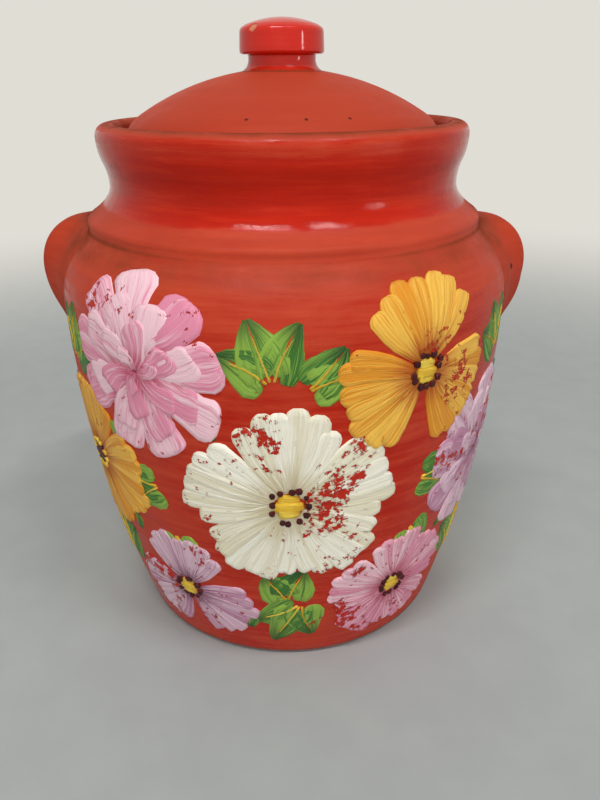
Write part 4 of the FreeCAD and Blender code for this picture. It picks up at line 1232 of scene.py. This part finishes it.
# %% Painting the garland
PETAL_GRID, LEAF_GRID, TOUCH_GRID, DOT_GRID = ((5, 3, 4), 9), ((4, 4, 3), 9), ((3, 2, 3), 7), ((4, 1, 4), 7)
LAYERS = (
    ("cream_petals", "cream", PETAL_GRID),
    ("pink_petals", "pink", PETAL_GRID),
    ("mauve_petals", "mauve", PETAL_GRID),
    ("gold_petals", "gold", PETAL_GRID),
    ("leaves", "leaf", LEAF_GRID),
    ("yellow_touches", "yellow", TOUCH_GRID),
    ("maroon_hearts", "maroon", DOT_GRID),
)
for name, colour, grid in LAYERS:
    layer = brushwork(name, loads[colour], *grid, oils[colour])
    print(name, "has", len(layer.data.polygons), "faces")

# %% [markdown]
# ## Floor and light
# A plain pale floor and soft light from above, in front and behind, as in a bright kitchen. Two narrow
# tubes overhead and a small window give the thin bright lights on rim, collar and knob; three wide soft
# boxes fill the shade and are not mirrored. Their sum is set so that a colour renders about as it is
# written. The floor fades into the pale backdrop only for what is seen straight or in a mirror, so that the
# backdrop adds no light to the jar.

# %% Floor
WALL_WHITE, TABLE_GREY, TABLE_PALE = pigment(224, 221, 213), pigment(161, 166, 166), pigment(165, 170, 169)
FLOOR_RADIUS, FLOOR_CORNERS, FLOOR_ROUGHNESS, FADE_START, FADE_END = 30.0, 96, 0.6, 0.3, 0.95


def seen(tree):
    """1 for rays of the camera, of gloss and of clear glass, 0 for light passed on between dull surfaces."""
    camera_ray, glossy, clear = (
        Shade.node(tree, "LightPath", out=f"Is {kind} Ray") for kind in ("Camera", "Glossy", "Transmission")
    )
    return Shade.sum("MAXIMUM", Shade.sum("MAXIMUM", camera_ray, glossy), clear)


floor_mesh = bpy.data.meshes.new("floor")
turns = np.linspace(0, 2 * np.pi, FLOOR_CORNERS, endpoint=False)
floor_edge = np.column_stack([FLOOR_RADIUS * np.cos(turns), FLOOR_RADIUS * np.sin(turns), 0 * turns])
floor_mesh.from_pydata(floor_edge.tolist(), [], [list(range(FLOOR_CORNERS))])
floor = bpy.data.objects.new("floor", floor_mesh)
bpy.context.scene.collection.objects.link(floor)
floor_finish, floor_tree = new_finish("pale_floor")
floor_place = place(floor_tree)
floor_grain = noise(floor_tree, floor_place, 45.0, 4.0).rise(0.3, 0.7)
set_shader(floor_tree, floor_grain.blend(TABLE_GREY, TABLE_PALE), FLOOR_ROUGHNESS)
away = Shade.node(floor_tree, "VectorMath", {"operation": "LENGTH"}, {0: floor_place}, out="Value")
backdrop = Shade.node(floor_tree, "Emission", None, {"Color": WALL_WHITE, "Strength": 1.0})
lay_over(floor_tree, away.rise(FADE_START, FADE_END) * seen(floor_tree), backdrop)
floor_mesh.materials.append(floor_finish)
print("floor fades out between", FADE_START, "and", FADE_END, "m from the jar")

# %% [markdown]
# A lamp is described by its place, the height on the jar's axis that it is aimed at, its width, its depth,
# its power, and whether glossy paint mirrors it. Sun lamps would be simpler, but their highlights are dots,
# and the jar's are thin lines.

# %% Lamps and world
# name, place, height aimed at, width, depth, power, whether it is mirrored
LAMPS = (
    ("left_tube", (-0.225, -0.571, 1.451), 0.15, 0.5, 0.034, 7.2, True),
    ("right_tube", (0.445, -0.513, 1.423), 0.15, 0.4, 0.032, 5.2, True),
    ("window", (1.03, -0.65, 0.36), 0.2, 0.08, 0.35, 1.5, True),
    ("overhead_sheet", (0.0, -0.1, 1.9), 0.1, 2.4, 2.2, 1.5, False),
    ("front_fill", (-0.1, -1.7, 0.7), 0.1, 1.4, 1.0, 13.0, False),
    ("back_fill", (-0.3, 1.7, 0.7), 0.1, 1.4, 1.0, 10.0, False),
)
STEEP, ROOM_LIGHT = 0.9, 0.34


def lamp(name, spot, aim, width, depth, power, mirrored):
    """A rectangular lamp at a spot, turned towards the jar's axis at the height aim."""
    light = bpy.data.lights.new(name, "AREA")
    light.shape = "RECTANGLE"
    light.size, light.size_y = width, depth
    light.energy = power
    made = bpy.data.objects.new(name, light)
    made.visible_glossy = mirrored
    facing = np.array([0.0, 0.0, aim]) - np.array(spot)
    back = -facing / np.linalg.norm(facing)
    aside = np.cross((0.0, 1.0, 0.0) if abs(back[2]) > STEEP else (0.0, 0.0, 1.0), back)
    aside /= np.linalg.norm(aside)
    made.matrix_world = stand(aside, np.cross(back, aside), back, spot)
    bpy.context.scene.collection.objects.link(made)


for described in LAMPS:
    lamp(*described)

world = bpy.data.worlds.new("soft_room")
world.use_nodes = True
bpy.context.scene.world = world
strength = ROOM_LIGHT + seen(world.node_tree) * (1.0 - ROOM_LIGHT)
Shade.feed(world.node_tree.nodes["Background"], {"Color": WALL_WHITE, "Strength": strength})
bpy.context.scene.view_settings.view_transform = "Standard"
print("lamps:", [light.name for light in bpy.data.lights])

# %% [markdown]
